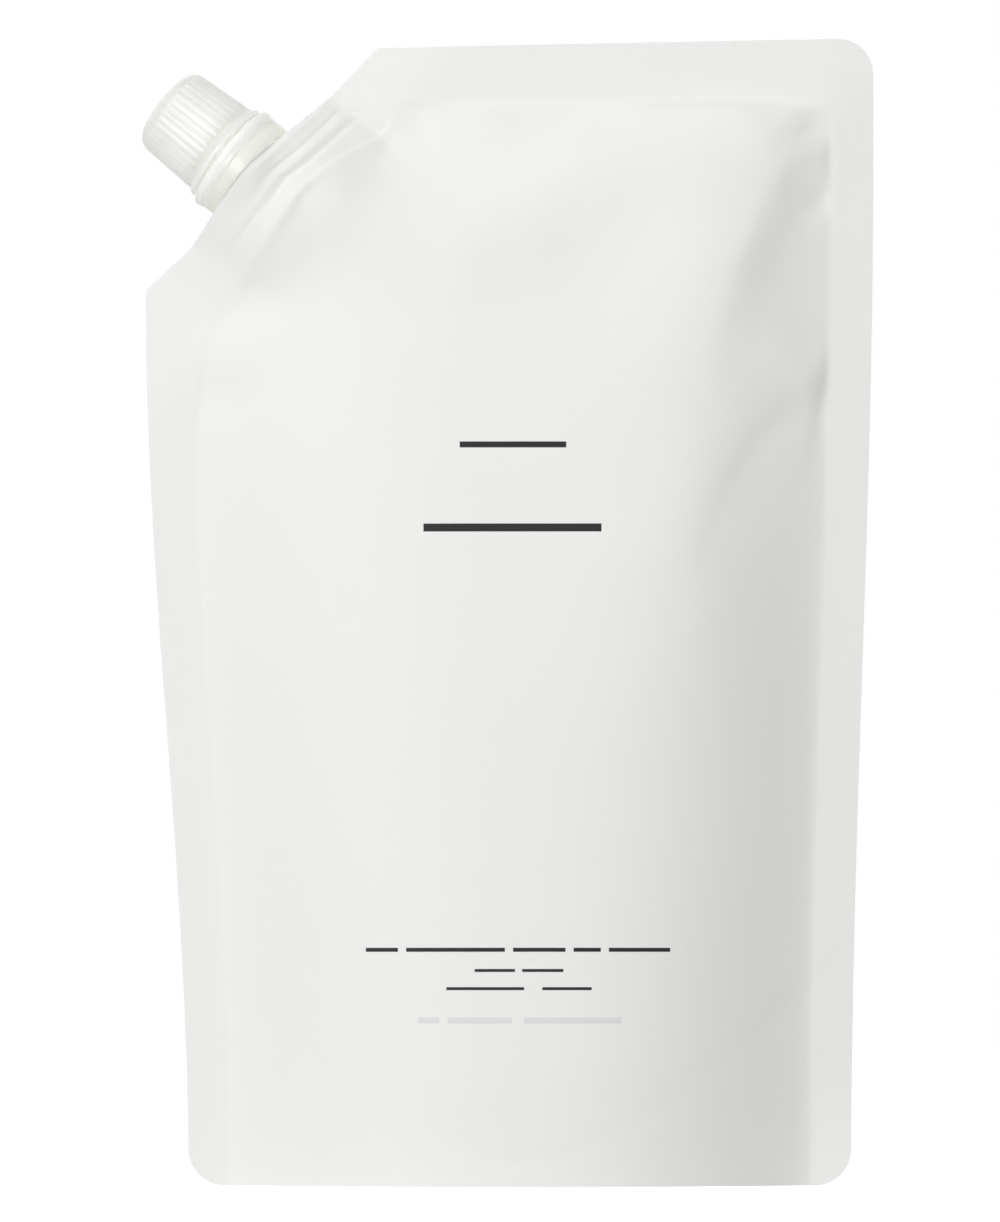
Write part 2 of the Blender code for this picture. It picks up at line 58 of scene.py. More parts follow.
camera_data = bpy.data.cameras.new("camera")
camera = bpy.data.objects.new("camera", camera_data)
bpy.context.collection.objects.link(camera)
camera.location = (VIEW_CENTRE.x, -CAMERA_DISTANCE, CAMERA_HEIGHT)
line_of_sight = VIEW_CENTRE - camera.location
camera.rotation_euler = line_of_sight.to_track_quat("-Z", "Y").to_euler()
camera_data.sensor_width = SENSOR_LONG_SIDE
half_view = METRES_PER_PIXEL * PICTURE_HEIGHT / 2 / line_of_sight.length
camera_data.lens = SENSOR_LONG_SIDE / 2 / half_view
camera_data.clip_start = 0.1
camera_data.clip_end = 20.0
bpy.context.scene.camera = camera

FLOOR_SIZE = 6.0
FLOOR_TONE = 0.80
FLOOR_GLOW = 0.82

floor_mesh = bpy.data.meshes.new("floor")
corners = [(-1, -1), (1, -1), (1, 1), (-1, 1)]
floor_mesh.from_pydata([(FLOOR_SIZE * x, FLOOR_SIZE * y, 0.0) for x, y in corners], [], [(0, 1, 2, 3)])
floor = bpy.data.objects.new("floor", floor_mesh)
bpy.context.collection.objects.link(floor)

floor_material = bpy.data.materials.new("white_surface")
floor_material.use_nodes = True
nodes = floor_material.node_tree.nodes
links = floor_material.node_tree.links
shader = nodes["Principled BSDF"]
shader.inputs["Base Color"].default_value = (FLOOR_TONE, FLOOR_TONE, FLOOR_TONE, 1.0)
shader.inputs["Roughness"].default_value = 0.9
shader.inputs["Specular IOR Level"].default_value = 0.1
shader.inputs["Emission Color"].default_value = (1.0, 1.0, 1.0, 1.0)
rays = nodes.new("ShaderNodeLightPath")
seen = nodes.new("ShaderNodeMath")
seen.operation = "MULTIPLY"
seen.inputs[1].default_value = FLOOR_GLOW
links.new(rays.outputs["Is Camera Ray"], seen.inputs[0])
links.new(seen.outputs[0], shader.inputs["Emission Strength"])
floor_mesh.materials.append(floor_material)


# Studio light
# A distant soft lamp in front on the left, one over the top, and a white room that is brightest
# behind the pack, where the lit background is.

ROOM_IN_FRONT = 0.33
ROOM_BEHIND = 0.95
ROOM_TURN = (0.45, 0.85)
KEY_PLACE = (-1.60, -3.90, 0.75)
KEY_SIZE = 1.3
KEY_POWER = 75.0
TOP_PLACE = (-0.35, -0.70, 1.55)
TOP_SIZE = 0.8
TOP_POWER = 7.5

world = bpy.data.worlds.new("white_room")
bpy.context.scene.world = world
world.use_nodes = True
nodes = world.node_tree.nodes
links = world.node_tree.links
backdrop = nodes["Background"]
backdrop.inputs["Color"].default_value = (1.0, 1.0, 1.0, 1.0)
direction = nodes.new("ShaderNodeTexCoord")
apart = nodes.new("ShaderNodeSeparateXYZ")
links.new(direction.outputs["Generated"], apart.inputs[0])
room = nodes.new("ShaderNodeMapRange")
room.inputs["From Min"].default_value = ROOM_TURN[0]
room.inputs["From Max"].default_value = ROOM_TURN[1]
room.inputs["To Min"].default_value = ROOM_IN_FRONT
room.inputs["To Max"].default_value = ROOM_BEHIND
links.new(apart.outputs["Y"], room.inputs["Value"])
rays = nodes.new("ShaderNodeLightPath")
level = nodes.new("ShaderNodeMapRange")
level.inputs["To Max"].default_value = 1.0
links.new(room.outputs["Result"], level.inputs["To Min"])
links.new(rays.outputs["Is Camera Ray"], level.inputs["Value"])
links.new(level.outputs["Result"], backdrop.inputs["Strength"])


def soft_lamp(name, place, size, power):
    """A square lamp that faces the middle of the pack."""
    data = bpy.data.lights.new(name, "AREA")
    data.shape = "SQUARE"
    data.size = size
    data.energy = power
    lamp = bpy.data.objects.new(name, data)
    bpy.context.collection.objects.link(lamp)
    lamp.location = place
    lamp.visible_camera = False
    lamp.rotation_euler = (VIEW_CENTRE - lamp.location).to_track_quat("-Z", "Y").to_euler()


soft_lamp("key_lamp", KEY_PLACE, KEY_SIZE, KEY_POWER)
soft_lamp("top_lamp", TOP_PLACE, TOP_SIZE, TOP_POWER)
bpy.context.scene.view_settings.view_transform = "Standard"


# Front and back film panels
# Matte white laminate, 0.3 mm with its sealing layer, heat sealed along both sides, the top and
# the cut corner. The soap behind them fills them out into a belly that thins upwards.

PACK_HEIGHT = 0.260
TOP_DROP = 0.0022
FILM_WIDTH = 0.165
LEFT_DRAW_IN = 0.0098
RIGHT_DRAW_IN = 0.0052
LEFT_DRAW_TOP = 0.205
RIGHT_DRAW_TOP = 0.235
SIDE_SEAL = 0.0090
TOP_SEAL = 0.0135
HALF_SEAL = 0.00035
FILM = 0.00030
CORNER_RADIUS = 0.0082

BELLY_DEPTH = 0.0235
BELLY_TAPER = 2.2
BELLY_SHOULDER = 0.75
FOOT_DRAW = 0.04
FOOT_HEIGHT = 0.030
ROUNDNESS_BASE = 2.5
ROUNDNESS_TOP = 3.6
EDGE_RISE = 1.35
CORNER_SOFTNESS = 0.014
TOP_SOFTNESS = 0.08

CUT_DOWN = 0.0573
CUT_ACROSS = 0.0526
CUT_BOW = 0.0008
CUT_HOLLOW = 0.0010
CUT_BOW_AT = (0.52, 0.28)
CUT_HOLLOW_AT = (0.17, 0.17)
BOAT_LENGTH = 0.042
BOAT_WIDTH = 0.0156
BOAT_DEPTH = 0.0123
WELD_WRAP = 0.0014
WELD_BLEND = 0.045
WELD_RUN_OUT = (0.004, 0.012)
WELD_JOIN = 2.2
BOAT_END_SOFTNESS = 0.3
SLEEVE_RISE = 0.0022
SLEEVE_LENGTH = 0.008
SLEEVE_REACH = 0.011
LEAN_BEND = 0.008

TOP_DROP_START = 0.5
LEAST_SEAL = 0.0006
COLUMN_SPREAD = (0.40, 0.32, 0.28)
DROP_PASSES = 6
FILM_SHARP_ANGLE = 50

BASE_HALF = (FILM_WIDTH - LEFT_DRAW_IN - RIGHT_DRAW_IN) / 2
FILL_TOP = PACK_HEIGHT - TOP_SEAL
CUT_LOW = PACK_HEIGHT - CUT_DOWN
CUT_HIGH = PACK_HEIGHT - TOP_DROP
CUT_LEFT_X = -(BASE_HALF + LEFT_DRAW_IN)
CUT_TOP_X = CUT_LEFT_X + CUT_ACROSS
CUT_ANGLE = math.atan2(CUT_HIGH - CUT_LOW, CUT_ACROSS)

cap_turn = next(joint for joint in frame["joints"] if joint["name"] == "cap_turn")
spout_out = Vector(cap_turn["axis"]).normalized()
spout_datum = Vector(cap_turn["pos_m"])
LEAN = math.asin(spout_out.y)
AXIS_FLAT = (spout_out.x / math.cos(LEAN), spout_out.z / math.cos(LEAN))


def ramp(value, start, end):
    """Smooth step from 0 at start to 1 at end."""
    share = np.clip((value - start) / (end - start), 0.0, 1.0)
    return share * share * (3 - 2 * share)


def hill(value, centre, reach):
    """Smooth hill of height 1 that dies out at reach on both sides."""
    return ramp(np.abs(value - centre), reach, 0.0)


def left_side(z):
    """The left edge of the film, which the full base draws in."""
    pull = 0.5 + 0.5 * np.cos(math.pi * np.minimum(z / LEFT_DRAW_TOP, 1.0))
    return -(BASE_HALF + LEFT_DRAW_IN * (1 - pull))


def right_side(z):
    """The right edge of the film, drawn in the same way but less."""
    pull = 0.5 + 0.5 * np.cos(math.pi * np.minimum(z / RIGHT_DRAW_TOP, 1.0))
    return BASE_HALF + RIGHT_DRAW_IN * (1 - pull)


def corner_inset(distance):
    """How far a rounded corner pulls the edge in."""
    inside = np.clip(CORNER_RADIUS - distance, 0.0, CORNER_RADIUS)
    return CORNER_RADIUS - np.sqrt(CORNER_RADIUS ** 2 - inside ** 2)


def cut_line(z):
    """The cut corner: straight, with a slight bow where the spout is and a hollow below it."""
    share = (z - CUT_LOW) / (CUT_HIGH - CUT_LOW)
    outwards = CUT_BOW * hill(share, *CUT_BOW_AT) - CUT_HOLLOW * hill(share, *CUT_HOLLOW_AT)
    return CUT_LEFT_X + share * CUT_ACROSS - outwards / math.sin(CUT_ANGLE)


def left_edge(z):
    """Outline of the flat film on the left, with the cut and the rounded foot."""
    return np.where(z > CUT_LOW, cut_line(z), left_side(z) + corner_inset(z))


def right_edge(z):
    """Outline of the flat film on the right, with both rounded corners."""
    return right_side(z) - corner_inset(z) - corner_inset(PACK_HEIGHT - z)


def spout_coordinates(x, z):
    """Distance along the spout's axis and across it, in the plane of the film."""
    along = (x - spout_datum.x) * AXIS_FLAT[0] + (z - spout_datum.z) * AXIS_FLAT[1]
    across = (x - spout_datum.x) * AXIS_FLAT[1] - (z - spout_datum.z) * AXIS_FLAT[0]
    return along, across


def off_middle(x, z, distance):
    """The point at a distance from the film's middle, which leans back with the spout."""
    along, _ = spout_coordinates(x, z)
    past = np.maximum(along + BOAT_DEPTH + LEAN_BEND, 0.0)
    bent = np.minimum(past, LEAN_BEND)
    back = math.tan(LEAN) * (bent * bent / (2 * LEAN_BEND) + past - bent)
    slope = math.tan(LEAN) * bent / LEAN_BEND
    step = distance / np.hypot(1.0, slope)
    point = (x - slope * AXIS_FLAT[0] * step, back + step, z - slope * AXIS_FLAT[1] * step)
    return np.stack(point, axis=-1)


def half_depth(x, z):
    """Distance from the film's middle to either face of the filled pouch."""
    beside = left_side(z) + SIDE_SEAL
    below = cut_line(z) + BOAT_DEPTH / math.sin(CUT_ANGLE)
    low = (beside + below + np.hypot(beside - below, CORNER_SOFTNESS)) / 2
    high = right_side(z) - SIDE_SEAL
    side = np.minimum(np.abs(2 * x - low - high) / (high - low), 1.0)
    roundness = ROUNDNESS_BASE + (ROUNDNESS_TOP - ROUNDNESS_BASE) * z / PACK_HEIGHT
    fullness = np.maximum(1 - (np.minimum(z, FILL_TOP) / FILL_TOP) ** BELLY_TAPER, 0.0)
    fullness = fullness * (fullness + TOP_SOFTNESS) ** (BELLY_SHOULDER - 1)
    centre = BELLY_DEPTH * fullness * (1 - FOOT_DRAW * (1 - ramp(z, 0.0, FOOT_HEIGHT)))
    body = centre * (1 - side ** roundness) ** EDGE_RISE
    along, across = spout_coordinates(x, z)
    reach = ramp(along, -BOAT_DEPTH - WELD_BLEND, -BOAT_DEPTH)
    run_out = np.where(across > 0, *WELD_RUN_OUT)
    wrap = WELD_WRAP * ramp(np.abs(across), BOAT_LENGTH / 2 + run_out, BOAT_LENGTH / 2)
    rise = 1 - (2 * across / BOAT_LENGTH) ** 2
    boat = BOAT_WIDTH / 4 * (rise + np.hypot(rise, BOAT_END_SOFTNESS))
    sleeve = SLEEVE_RISE * ramp(along, -SLEEVE_LENGTH, 0.0) * ramp(np.abs(across), SLEEVE_REACH, 0.0)
    weld = (boat + wrap) * reach + sleeve
    return HALF_SEAL + (body ** WELD_JOIN + weld ** WELD_JOIN) ** (1 / WELD_JOIN)


def dropped(z):
    """Height of a level row where it meets the cut corner: the top edge drops towards it."""
    return z - TOP_DROP * ramp(z, TOP_DROP_START * PACK_HEIGHT, PACK_HEIGHT)


def panel_plan(row_counts, column_counts):
    """Places of the panel's points in the film's plane: rows by height, columns across."""
    corner_rows, low_rows, weld_rows, top_rows = row_counts
    seal_columns, belly_columns = column_counts
    turn = np.linspace(0.0, math.pi / 2, corner_rows + 1)
    # The level row that has dropped to the cut's lower corner where it meets the left edge
    corner = CUT_LOW
    for _ in range(DROP_PASSES):
        corner = CUT_LOW + corner - float(dropped(np.float64(corner)))
    rows = np.concatenate([
        CORNER_RADIUS * (1 - np.cos(turn))[:-1],
        np.linspace(CORNER_RADIUS, corner, low_rows + 1)[:-1],
        np.linspace(corner, FILL_TOP, weld_rows + 1)[:-1],
        np.linspace(FILL_TOP, PACK_HEIGHT - CORNER_RADIUS, top_rows + 1)[:-1],
        PACK_HEIGHT - CORNER_RADIUS * (1 - np.sin(turn)),
    ])
    shares = np.linspace(0.0, 1.0, belly_columns + 1)
    eased = 0.5 - 0.5 * np.cos(math.pi * shares)
    even, towards_left, towards_sides = COLUMN_SPREAD
    shares = even * shares + towards_left * shares ** 2 + towards_sides * eased
    seal = np.linspace(0.0, 1.0, seal_columns + 1)[:-1]

    z = rows[:, None]
    left = left_edge(dropped(z))
    right = right_edge(z)
    inner_left = np.maximum(left_side(dropped(z)) + SIDE_SEAL, left + LEAST_SEAL)
    inner_right = np.minimum(right_side(z) - SIDE_SEAL, right - LEAST_SEAL)
    x = np.concatenate([
        left + (inner_left - left) * seal[None, :],
        inner_left + (inner_right - inner_left) * shares[None, :],
        right + (inner_right - right) * seal[None, ::-1],
    ], axis=1)
    share = np.clip((right_side(z) - x) / (right_side(z) - CUT_TOP_X), 0.0, 1.0)
    return x, z - (z - dropped(z)) * share


def sheet_object(name, outer, inner):
    """A closed sheet between two grids of points, with its edges joined all round."""
    rows, columns = outer.shape[:2]
    size = rows * columns
    index = np.arange(size).reshape(rows, columns)
    here, right = index[:-1, :-1], index[:-1, 1:]
    above, corner = index[1:, :-1], index[1:, 1:]
    face = np.stack([here, right, corner, above], axis=-1).reshape(-1, 4)
    reverse = (np.stack([here, above, corner, right], axis=-1) + size).reshape(-1, 4)
    rim = np.concatenate([index[0, :-1], index[:-1, -1], index[-1, :0:-1], index[:0:-1, 0]])
    following = np.roll(rim, -1)
    edge = np.stack([rim + size, following + size, following, rim], axis=-1)
    points = np.concatenate([outer.reshape(-1, 3), inner.reshape(-1, 3)])
    mesh = bpy.data.meshes.new(name)
    mesh.from_pydata(points.tolist(), [], np.concatenate([face, reverse, edge]).tolist())
    mesh.validate()
    mesh.shade_smooth()
    mesh.set_sharp_from_angle(angle=math.radians(FILM_SHARP_ANGLE))
    sheet = bpy.data.objects.new(name, mesh)
    bpy.context.collection.objects.link(sheet)
    return sheet


# Folds, dents and seals of the panels
# The film is gathered in creases round the welded spout, and the soap has left long soft folds and
# dents on the right flank. Each fold follows the photograph: its points are pixels of the picture.

FOLD_JOIN = 0.0004
FOLD_JOIN_POWER = 6
RELIEF_FADE = 0.003
EDGE_FADE = 0.0015
SMILE_HEIGHT = 0.0057
SMILE_RADIUS = 0.037
SMILE_SLOPE = 1.05
BASE_GROOVE = 0.00022
BASE_GROOVE_WIDTH = 0.0013
SEAL_CURL = 0.0012
SEAL_FOOT_FADE = 0.030
SEAL_TOP_FADE = 0.010
SEAL_BEAD = 0.00012
SEAL_BEAD_WIDTH = 0.0008
SEAL_BEAD_START = (0.010, 0.040)


def at_pixel(x, y):
    """Place in the film's plane of a pixel of the picture."""
    return (x - PIXEL_ORIGIN[0]) * METRES_PER_PIXEL, (PIXEL_ORIGIN[1] - y) * METRES_PER_PIXEL


def fold(x, z, height, widths, run):
    """Smooth ridge along a run of (pixel x, pixel y, strength); a groove if height is negative.

    widths holds its reach on the left and on the right of the run, and all sizes are in mm.
    """
    total = np.zeros(np.shape(x))
    value = np.zeros(np.shape(x))
    for (x0, y0, strength_0), (x1, y1, strength_1) in zip(run, run[1:]):
        start_x, start_z = at_pixel(x0, y0)
        end_x, end_z = at_pixel(x1, y1)
        run_x, run_z = end_x - start_x, end_z - start_z
        share = ((x - start_x) * run_x + (z - start_z) * run_z) / (run_x ** 2 + run_z ** 2)
        share = np.clip(share, 0.0, 1.0)
        off_x = x - start_x - share * run_x
        off_z = z - start_z - share * run_z
        apart = np.hypot(off_x, off_z)
        width = np.where(run_x * off_z - run_z * off_x > 0, *widths) / 1000
        strength = strength_0 + (strength_1 - strength_0) * share
        weight = (apart + FOLD_JOIN) ** -FOLD_JOIN_POWER
        value = value + weight * height / 1000 * strength * np.exp(-(apart / width) ** 2)
        total = total + weight
    return value / total


# Creases that run out from the weld. Each holds a height, two reaches and a run, as fold() takes them.
WELD_FOLDS = (
    (0.26, (0.9, 0.9), ((334, 98, 0), (322, 111, 0.7), (292, 142, 1), (270, 165, 1), (252, 186, 0))),
    (-0.30, (0.6, 0.5), ((344, 104, 0), (332, 119, 0.8), (302, 153, 1), (280, 172, 0.7), (258, 196, 0))),
    (0.28, (0.9, 0.9), ((354, 110, 0), (340, 125, 0.8), (306, 160, 1), (284, 180, 1), (262, 208, 0.6),
                        (236, 240, 0))),
    (-0.36, (0.6, 0.9), ((360, 116, 0), (345, 131, 0.8), (311, 167, 1), (288, 184, 1), (276, 203, 0.9),
                         (250, 232, 0.7), (226, 261, 0))),
    (0.36, (1.8, 0.6), ((398, 106, 0), (388, 129, 0.8), (376, 140, 1), (361, 149, 1), (331, 170, 1),
                        (310, 189, 1), (300, 202, 0.4), (292, 214, 0))),
    (-0.26, (1.3, 0.9), ((330, 182, 0), (314, 192, 1), (304, 203, 1), (290, 218, 0))),
    (0.70, (1.6, 2.4), ((316, 184, 0), (304, 196, 0.7), (292, 212, 1), (278, 232, 0.8), (262, 256, 0.6),
                        (242, 284, 0.3), (222, 312, 0))),
    (0.16, (0.6, 0.6), ((300, 166, 0), (284, 188, 1), (262, 220, 0.8), (236, 258, 0))),
    (0.18, (0.4, 0.5), ((334, 103, 0), (344, 108, 1), (356, 107, 1), (366, 112, 0))),
    (-0.20, (0.4, 0.4), ((335, 107, 0), (346, 112, 1), (362, 111, 1), (372, 118, 0))),
    (0.16, (0.4, 0.4), ((338, 117, 0), (350, 116, 1), (366, 119, 0))),
    (-0.16, (0.4, 0.4), ((345, 122, 0), (356, 120, 1), (368, 124, 0))),
    (0.22, (0.5, 0.5), ((232, 292, 0), (222, 303, 1), (206, 322, 1), (188, 344, 0))),
    (-0.14, (0.5, 0.5), ((222, 294, 0), (212, 304, 1), (198, 322, 1), (184, 340, 0))),
)
# Soft folds of the belly: the fold under the top seal, the ridge of the right flank with the dents
# beside it, and the small ones at the foot of the cut corner.
BELLY_FOLDS = (
    (2.6, (15, 11), ((800, 80, 0), (740, 118, 0.7), (660, 148, 0.8), (585, 176, 1), (520, 214, 1),
                    (460, 232, 1), (400, 222, 0.9), (350, 212, 0.5), (310, 222, 0))),
    (0.6, (5, 6), ((488, 90, 0), (492, 106, 1), (504, 142, 0))),
    (0.6, (5, 6), ((640, 86, 0), (646, 100, 1), (654, 136, 0))),
    (-0.5, (3.5, 4), ((420, 94, 0), (418, 112, 1), (426, 134, 0.8), (440, 158, 0))),
    (-0.4, (6, 6), ((556, 96, 0), (566, 116, 1), (576, 140, 0))),
    (2.6, (8, 22), ((812, 82, 0), (800, 108, 0.3), (784, 150, 0.8), (758, 200, 1), (730, 264, 0.9),
                    (708, 330, 0.4), (694, 400, 0))),
    (1.2, (16, 20), ((756, 190, 0), (742, 240, 0.8), (720, 310, 1), (706, 380, 0.7), (694, 450, 0))),
    (-0.8, (6, 5), ((792, 112, 0), (806, 132, 1), (816, 154, 0))),
    (-0.5, (3, 3.5), ((836, 190, 0), (826, 200, 1), (806, 214, 0.5), (790, 232, 0))),
    (0.9, (6, 5), ((836, 390, 0), (812, 374, 1), (777, 362, 0.8), (735, 360, 0))),
    (-0.8, (8, 3), ((838, 400, 0), (822, 402, 0.8), (800, 408, 0.8), (765, 434, 0.6), (735, 486, 0.6),
                    (712, 540, 0.3), (700, 590, 0))),
    (0.8, (3, 8), ((826, 376, 0), (813, 392, 1), (803, 432, 0.7), (796, 480, 0))),
    (1.4, (14, 22), ((745, 290, 0), (735, 360, 0.6), (712, 450, 0.8), (690, 560, 1), (690, 660, 0.6),
                     (700, 780, 0))),
    (0.5, (8, 9), ((712, 400, 0), (694, 452, 1), (676, 530, 0.7), (664, 610, 0))),
    (0.8, (8, 8), ((216, 318, 0), (236, 346, 1), (262, 372, 0))),
    (-0.6, (4, 4), ((196, 392, 0), (214, 396, 1), (240, 404, 0.8), (262, 420, 0))),
)


def smile(x):
    """Height of the curved seal between the panels and the gusset."""
    spread = SMILE_SLOPE * SMILE_RADIUS
    return SMILE_HEIGHT + SMILE_SLOPE * spread * (np.hypot(1.0, x / spread) - 1)


def base_seal_groove(x, z):
    """Shallow groove where the gusset is sealed to the panel."""
    return -BASE_GROOVE * np.exp(-((z - smile(x)) / BASE_GROOVE_WIDTH) ** 2)


def seal_curl(x, z):
    """How far the right-hand side seal curls backwards."""
    outwards = np.clip((x - right_side(z) + SIDE_SEAL) / SIDE_SEAL, 0.0, 1.0)
    fade = ramp(z, 0.0, SEAL_FOOT_FADE) * ramp(z, PACK_HEIGHT, FILL_TOP - SEAL_TOP_FADE)
    return SEAL_CURL * outwards * fade


def seal_bead(x, z):
    """Thin raised line of sealing layer squeezed out along the inside of the right-hand seal."""
    off = (x - right_side(z) + SIDE_SEAL - SEAL_BEAD_WIDTH) / SEAL_BEAD_WIDTH
    fade = ramp(z, *SEAL_BEAD_START) * ramp(z, FILL_TOP, FILL_TOP - SEAL_TOP_FADE)
    return SEAL_BEAD * np.exp(-off ** 2) * fade


def front_relief(x, z):
    """Folds and dents of the front, added to its depth; none stand on the flat seals."""
    weld = sum(fold(x, z, *shape) for shape in WELD_FOLDS)
    belly = sum(fold(x, z, *shape) for shape in BELLY_FOLDS)
    inside = ramp(right_side(z) - SIDE_SEAL - x, 0.0, RELIEF_FADE)
    inside = inside * ramp(x - left_side(z) - SIDE_SEAL, 0.0, RELIEF_FADE)
    inside = inside * ramp(FILL_TOP - z, 0.0, RELIEF_FADE)
    edge = ramp(x - cut_line(z), 0.0, EDGE_FADE)
    seals = base_seal_groove(x, z) + seal_bead(x, z) - seal_curl(x, z)
    return weld * edge + belly * inside + seals


def back_relief(x, z):
    """The back is plain: it has the groove of the base seal and the curl of the side seal."""
    return base_seal_groove(x, z) + seal_curl(x, z)


def film_panel(name, side, relief, row_counts, column_counts):
    """One panel: side is -1 for the front and 1 for the back."""
    x, z = panel_plan(row_counts, column_counts)
    depth = half_depth(x, z) + relief(x, z)
    outer = off_middle(x, z, side * depth)
    inner = off_middle(x, z, side * (depth - FILM))
    if side > 0:
        outer, inner = inner, outer
    return sheet_object(name, outer, inner)


front_panel = film_panel("front_panel", -1, front_relief, (8, 84, 92, 12), (6, 196))
back_panel = film_panel("back_panel", 1, back_relief, (6, 70, 50, 8), (4, 110))


# Base gusset
# A third piece of the same film, folded up between the panels and sealed to them along a curve.
# Its doubled edge makes the skirt that the pack stands on, and the soap presses its middle down.

SKIRT_FADE = (0.0030, 0.0075)
BELLY_REST = 0.028
BELLY_REST_SHARE = 0.45
BELLY_REST_FADE = 0.030
SAG_SHARE = 0.9
LIFT_POWER = 1.6
GUSSET_SIDE_ROOM = 0.003
GUSSET_GAP = 0.00015
GUSSET_COLUMNS = 150
SKIRT_ROWS = 24
GUSSET_ROWS = 44


def gusset_point_grid():
    """Underside of the gusset: up the front skirt, across the base and down the back skirt."""
    reach = BASE_HALF - SIDE_SEAL - GUSSET_SIDE_ROOM
    x = np.linspace(-reach, reach, GUSSET_COLUMNS)[None, :]
    foot = half_depth(x, np.zeros_like(x))
    seal = smile(x) * ramp(foot, *SKIRT_FADE)
    sag = seal * ramp(np.abs(x), BELLY_REST, BELLY_REST + BELLY_REST_FADE) * SAG_SHARE
    rise = np.linspace(0.0, 1.0, SKIRT_ROWS + 1)[:, None]
    skirt_z = seal * rise
    gap = FILM + GUSSET_GAP
    front = half_depth(x, skirt_z) + front_relief(x + 0 * skirt_z, skirt_z) - gap
    back = half_depth(x, skirt_z) + back_relief(x + 0 * skirt_z, skirt_z) - gap
    across = np.linspace(0.0, 1.0, GUSSET_ROWS + 1)[1:-1, None]
    off_rest = (np.abs(2 * across - 1) - BELLY_REST_SHARE) / (1 - BELLY_REST_SHARE)
    lift = np.maximum(off_rest, 0.0) ** LIFT_POWER
    y = np.concatenate([-front, -front[-1:] + across * (front[-1:] + back[-1:]), back[::-1]])
    z = np.concatenate([skirt_z, sag + (seal - sag) * lift, skirt_z[::-1]])
    return np.stack([x + 0 * y, y, z], axis=-1)


def thickened(grid, thickness):
    """The grid moved by a thickness along its own normals."""
    along_rows = np.gradient(grid, axis=0)
    along_columns = np.gradient(grid, axis=1)
    normal = np.cross(along_columns, along_rows)
    length = np.linalg.norm(normal, axis=-1, keepdims=True)
    return grid + normal / np.maximum(length, 1e-12) * thickness


under = gusset_point_grid()
above_film = thickened(under, FILM)
above_film[..., 2] = np.maximum(above_film[..., 2], 0.0)
gusset = sheet_object("base_gusset", above_film, under)


# Film material
# Satin white print on the laminate: a faint grain, slow changes of tone and, along the top, the
# fine level lines that the sealing jaws press in. Word-sized dark bars stand where print would be.

FILM_COLOUR = (0.865, 0.868, 0.850)
INK_COLOUR = (0.020, 0.020, 0.022)
PALE_INK_COLOUR = (0.740, 0.745, 0.735)
TONE_CHANGE = 0.985
CRIMP_PITCH = 0.00105
CRIMP_START = 1500.0


def group_with_sockets(name, inputs, outputs):
    """An empty node group; inputs are (name, socket, value) and outputs (name, socket)."""
    group = bpy.data.node_groups.new(name, "ShaderNodeTree")
    for label, kind, value in inputs:
        socket = group.interface.new_socket(label, in_out="INPUT", socket_type=kind)
        if value is not None:
            socket.default_value = value
    for label, kind in outputs:
        group.interface.new_socket(label, in_out="OUTPUT", socket_type=kind)
    return group, group.nodes.new("NodeGroupInput"), group.nodes.new("NodeGroupOutput")


def maths(tree, operation, first, second=None, third=None):
    """A Math node; each input is a socket or a number."""
    node = tree.nodes.new("ShaderNodeMath")
    node.operation = operation
    for place, value in enumerate((first, second, third)):
        if value is None:
            continue
        if isinstance(value, (int, float)):
            node.inputs[place].default_value = value
        else:
            tree.links.new(value, node.inputs[place])
    return node.outputs[0]


def make_grain():
    """Fine noise for a surface: a height for bumps and a slow tone."""
    group, given, result = group_with_sockets(
        "surface_grain",
        [("Point", "NodeSocketVector", None), ("Grain Size", "NodeSocketFloat", 0.0004),
         ("Tone Size", "NodeSocketFloat", 0.02)],
        [("Height", "NodeSocketFloat"), ("Tone", "NodeSocketFloat")],
    )
    for size, detail, output in (("Grain Size", 3.0, "Height"), ("Tone Size", 2.0, "Tone")):
        noise = group.nodes.new("ShaderNodeTexNoise")
        noise.inputs["Detail"].default_value = detail
        group.links.new(given.outputs["Point"], noise.inputs["Vector"])
        group.links.new(maths(group, "DIVIDE", 1.0, given.outputs[size]), noise.inputs["Scale"])
        group.links.new(noise.outputs["Fac"], result.inputs[output])
    return group


def make_bar():
    """Mask of an upright rectangle on the front, with crisp edges."""
    group, given, result = group_with_sockets(
        "printed_bar",
        [("Point", "NodeSocketVector", None), ("Middle X", "NodeSocketFloat", 0.0),
         ("Middle Z", "NodeSocketFloat", 0.0), ("Half Width", "NodeSocketFloat", 0.01),
         ("Half Height", "NodeSocketFloat", 0.001), ("Softness", "NodeSocketFloat", 0.00012)],
        [("Mask", "NodeSocketFloat")],
    )
    apart = group.nodes.new("ShaderNodeSeparateXYZ")
    group.links.new(given.outputs["Point"], apart.inputs[0])
    sides = []
    for axis, middle, half in (("X", "Middle X", "Half Width"), ("Z", "Middle Z", "Half Height")):
        offset = maths(group, "SUBTRACT", apart.outputs[axis], given.outputs[middle])
        past = maths(group, "SUBTRACT", maths(group, "ABSOLUTE", offset), given.outputs[half])
        sides.append(maths(group, "DIVIDE", past, given.outputs["Softness"]))
    inside = maths(group, "SUBTRACT", 0.5, maths(group, "MAXIMUM", *sides))
    limit = group.nodes.new("ShaderNodeClamp")
    group.links.new(inside, limit.inputs["Value"])
    front = maths(group, "LESS_THAN", apart.outputs["Y"], 0.0)
    group.links.new(maths(group, "MULTIPLY", limit.outputs[0], front), result.inputs["Mask"])
    return group


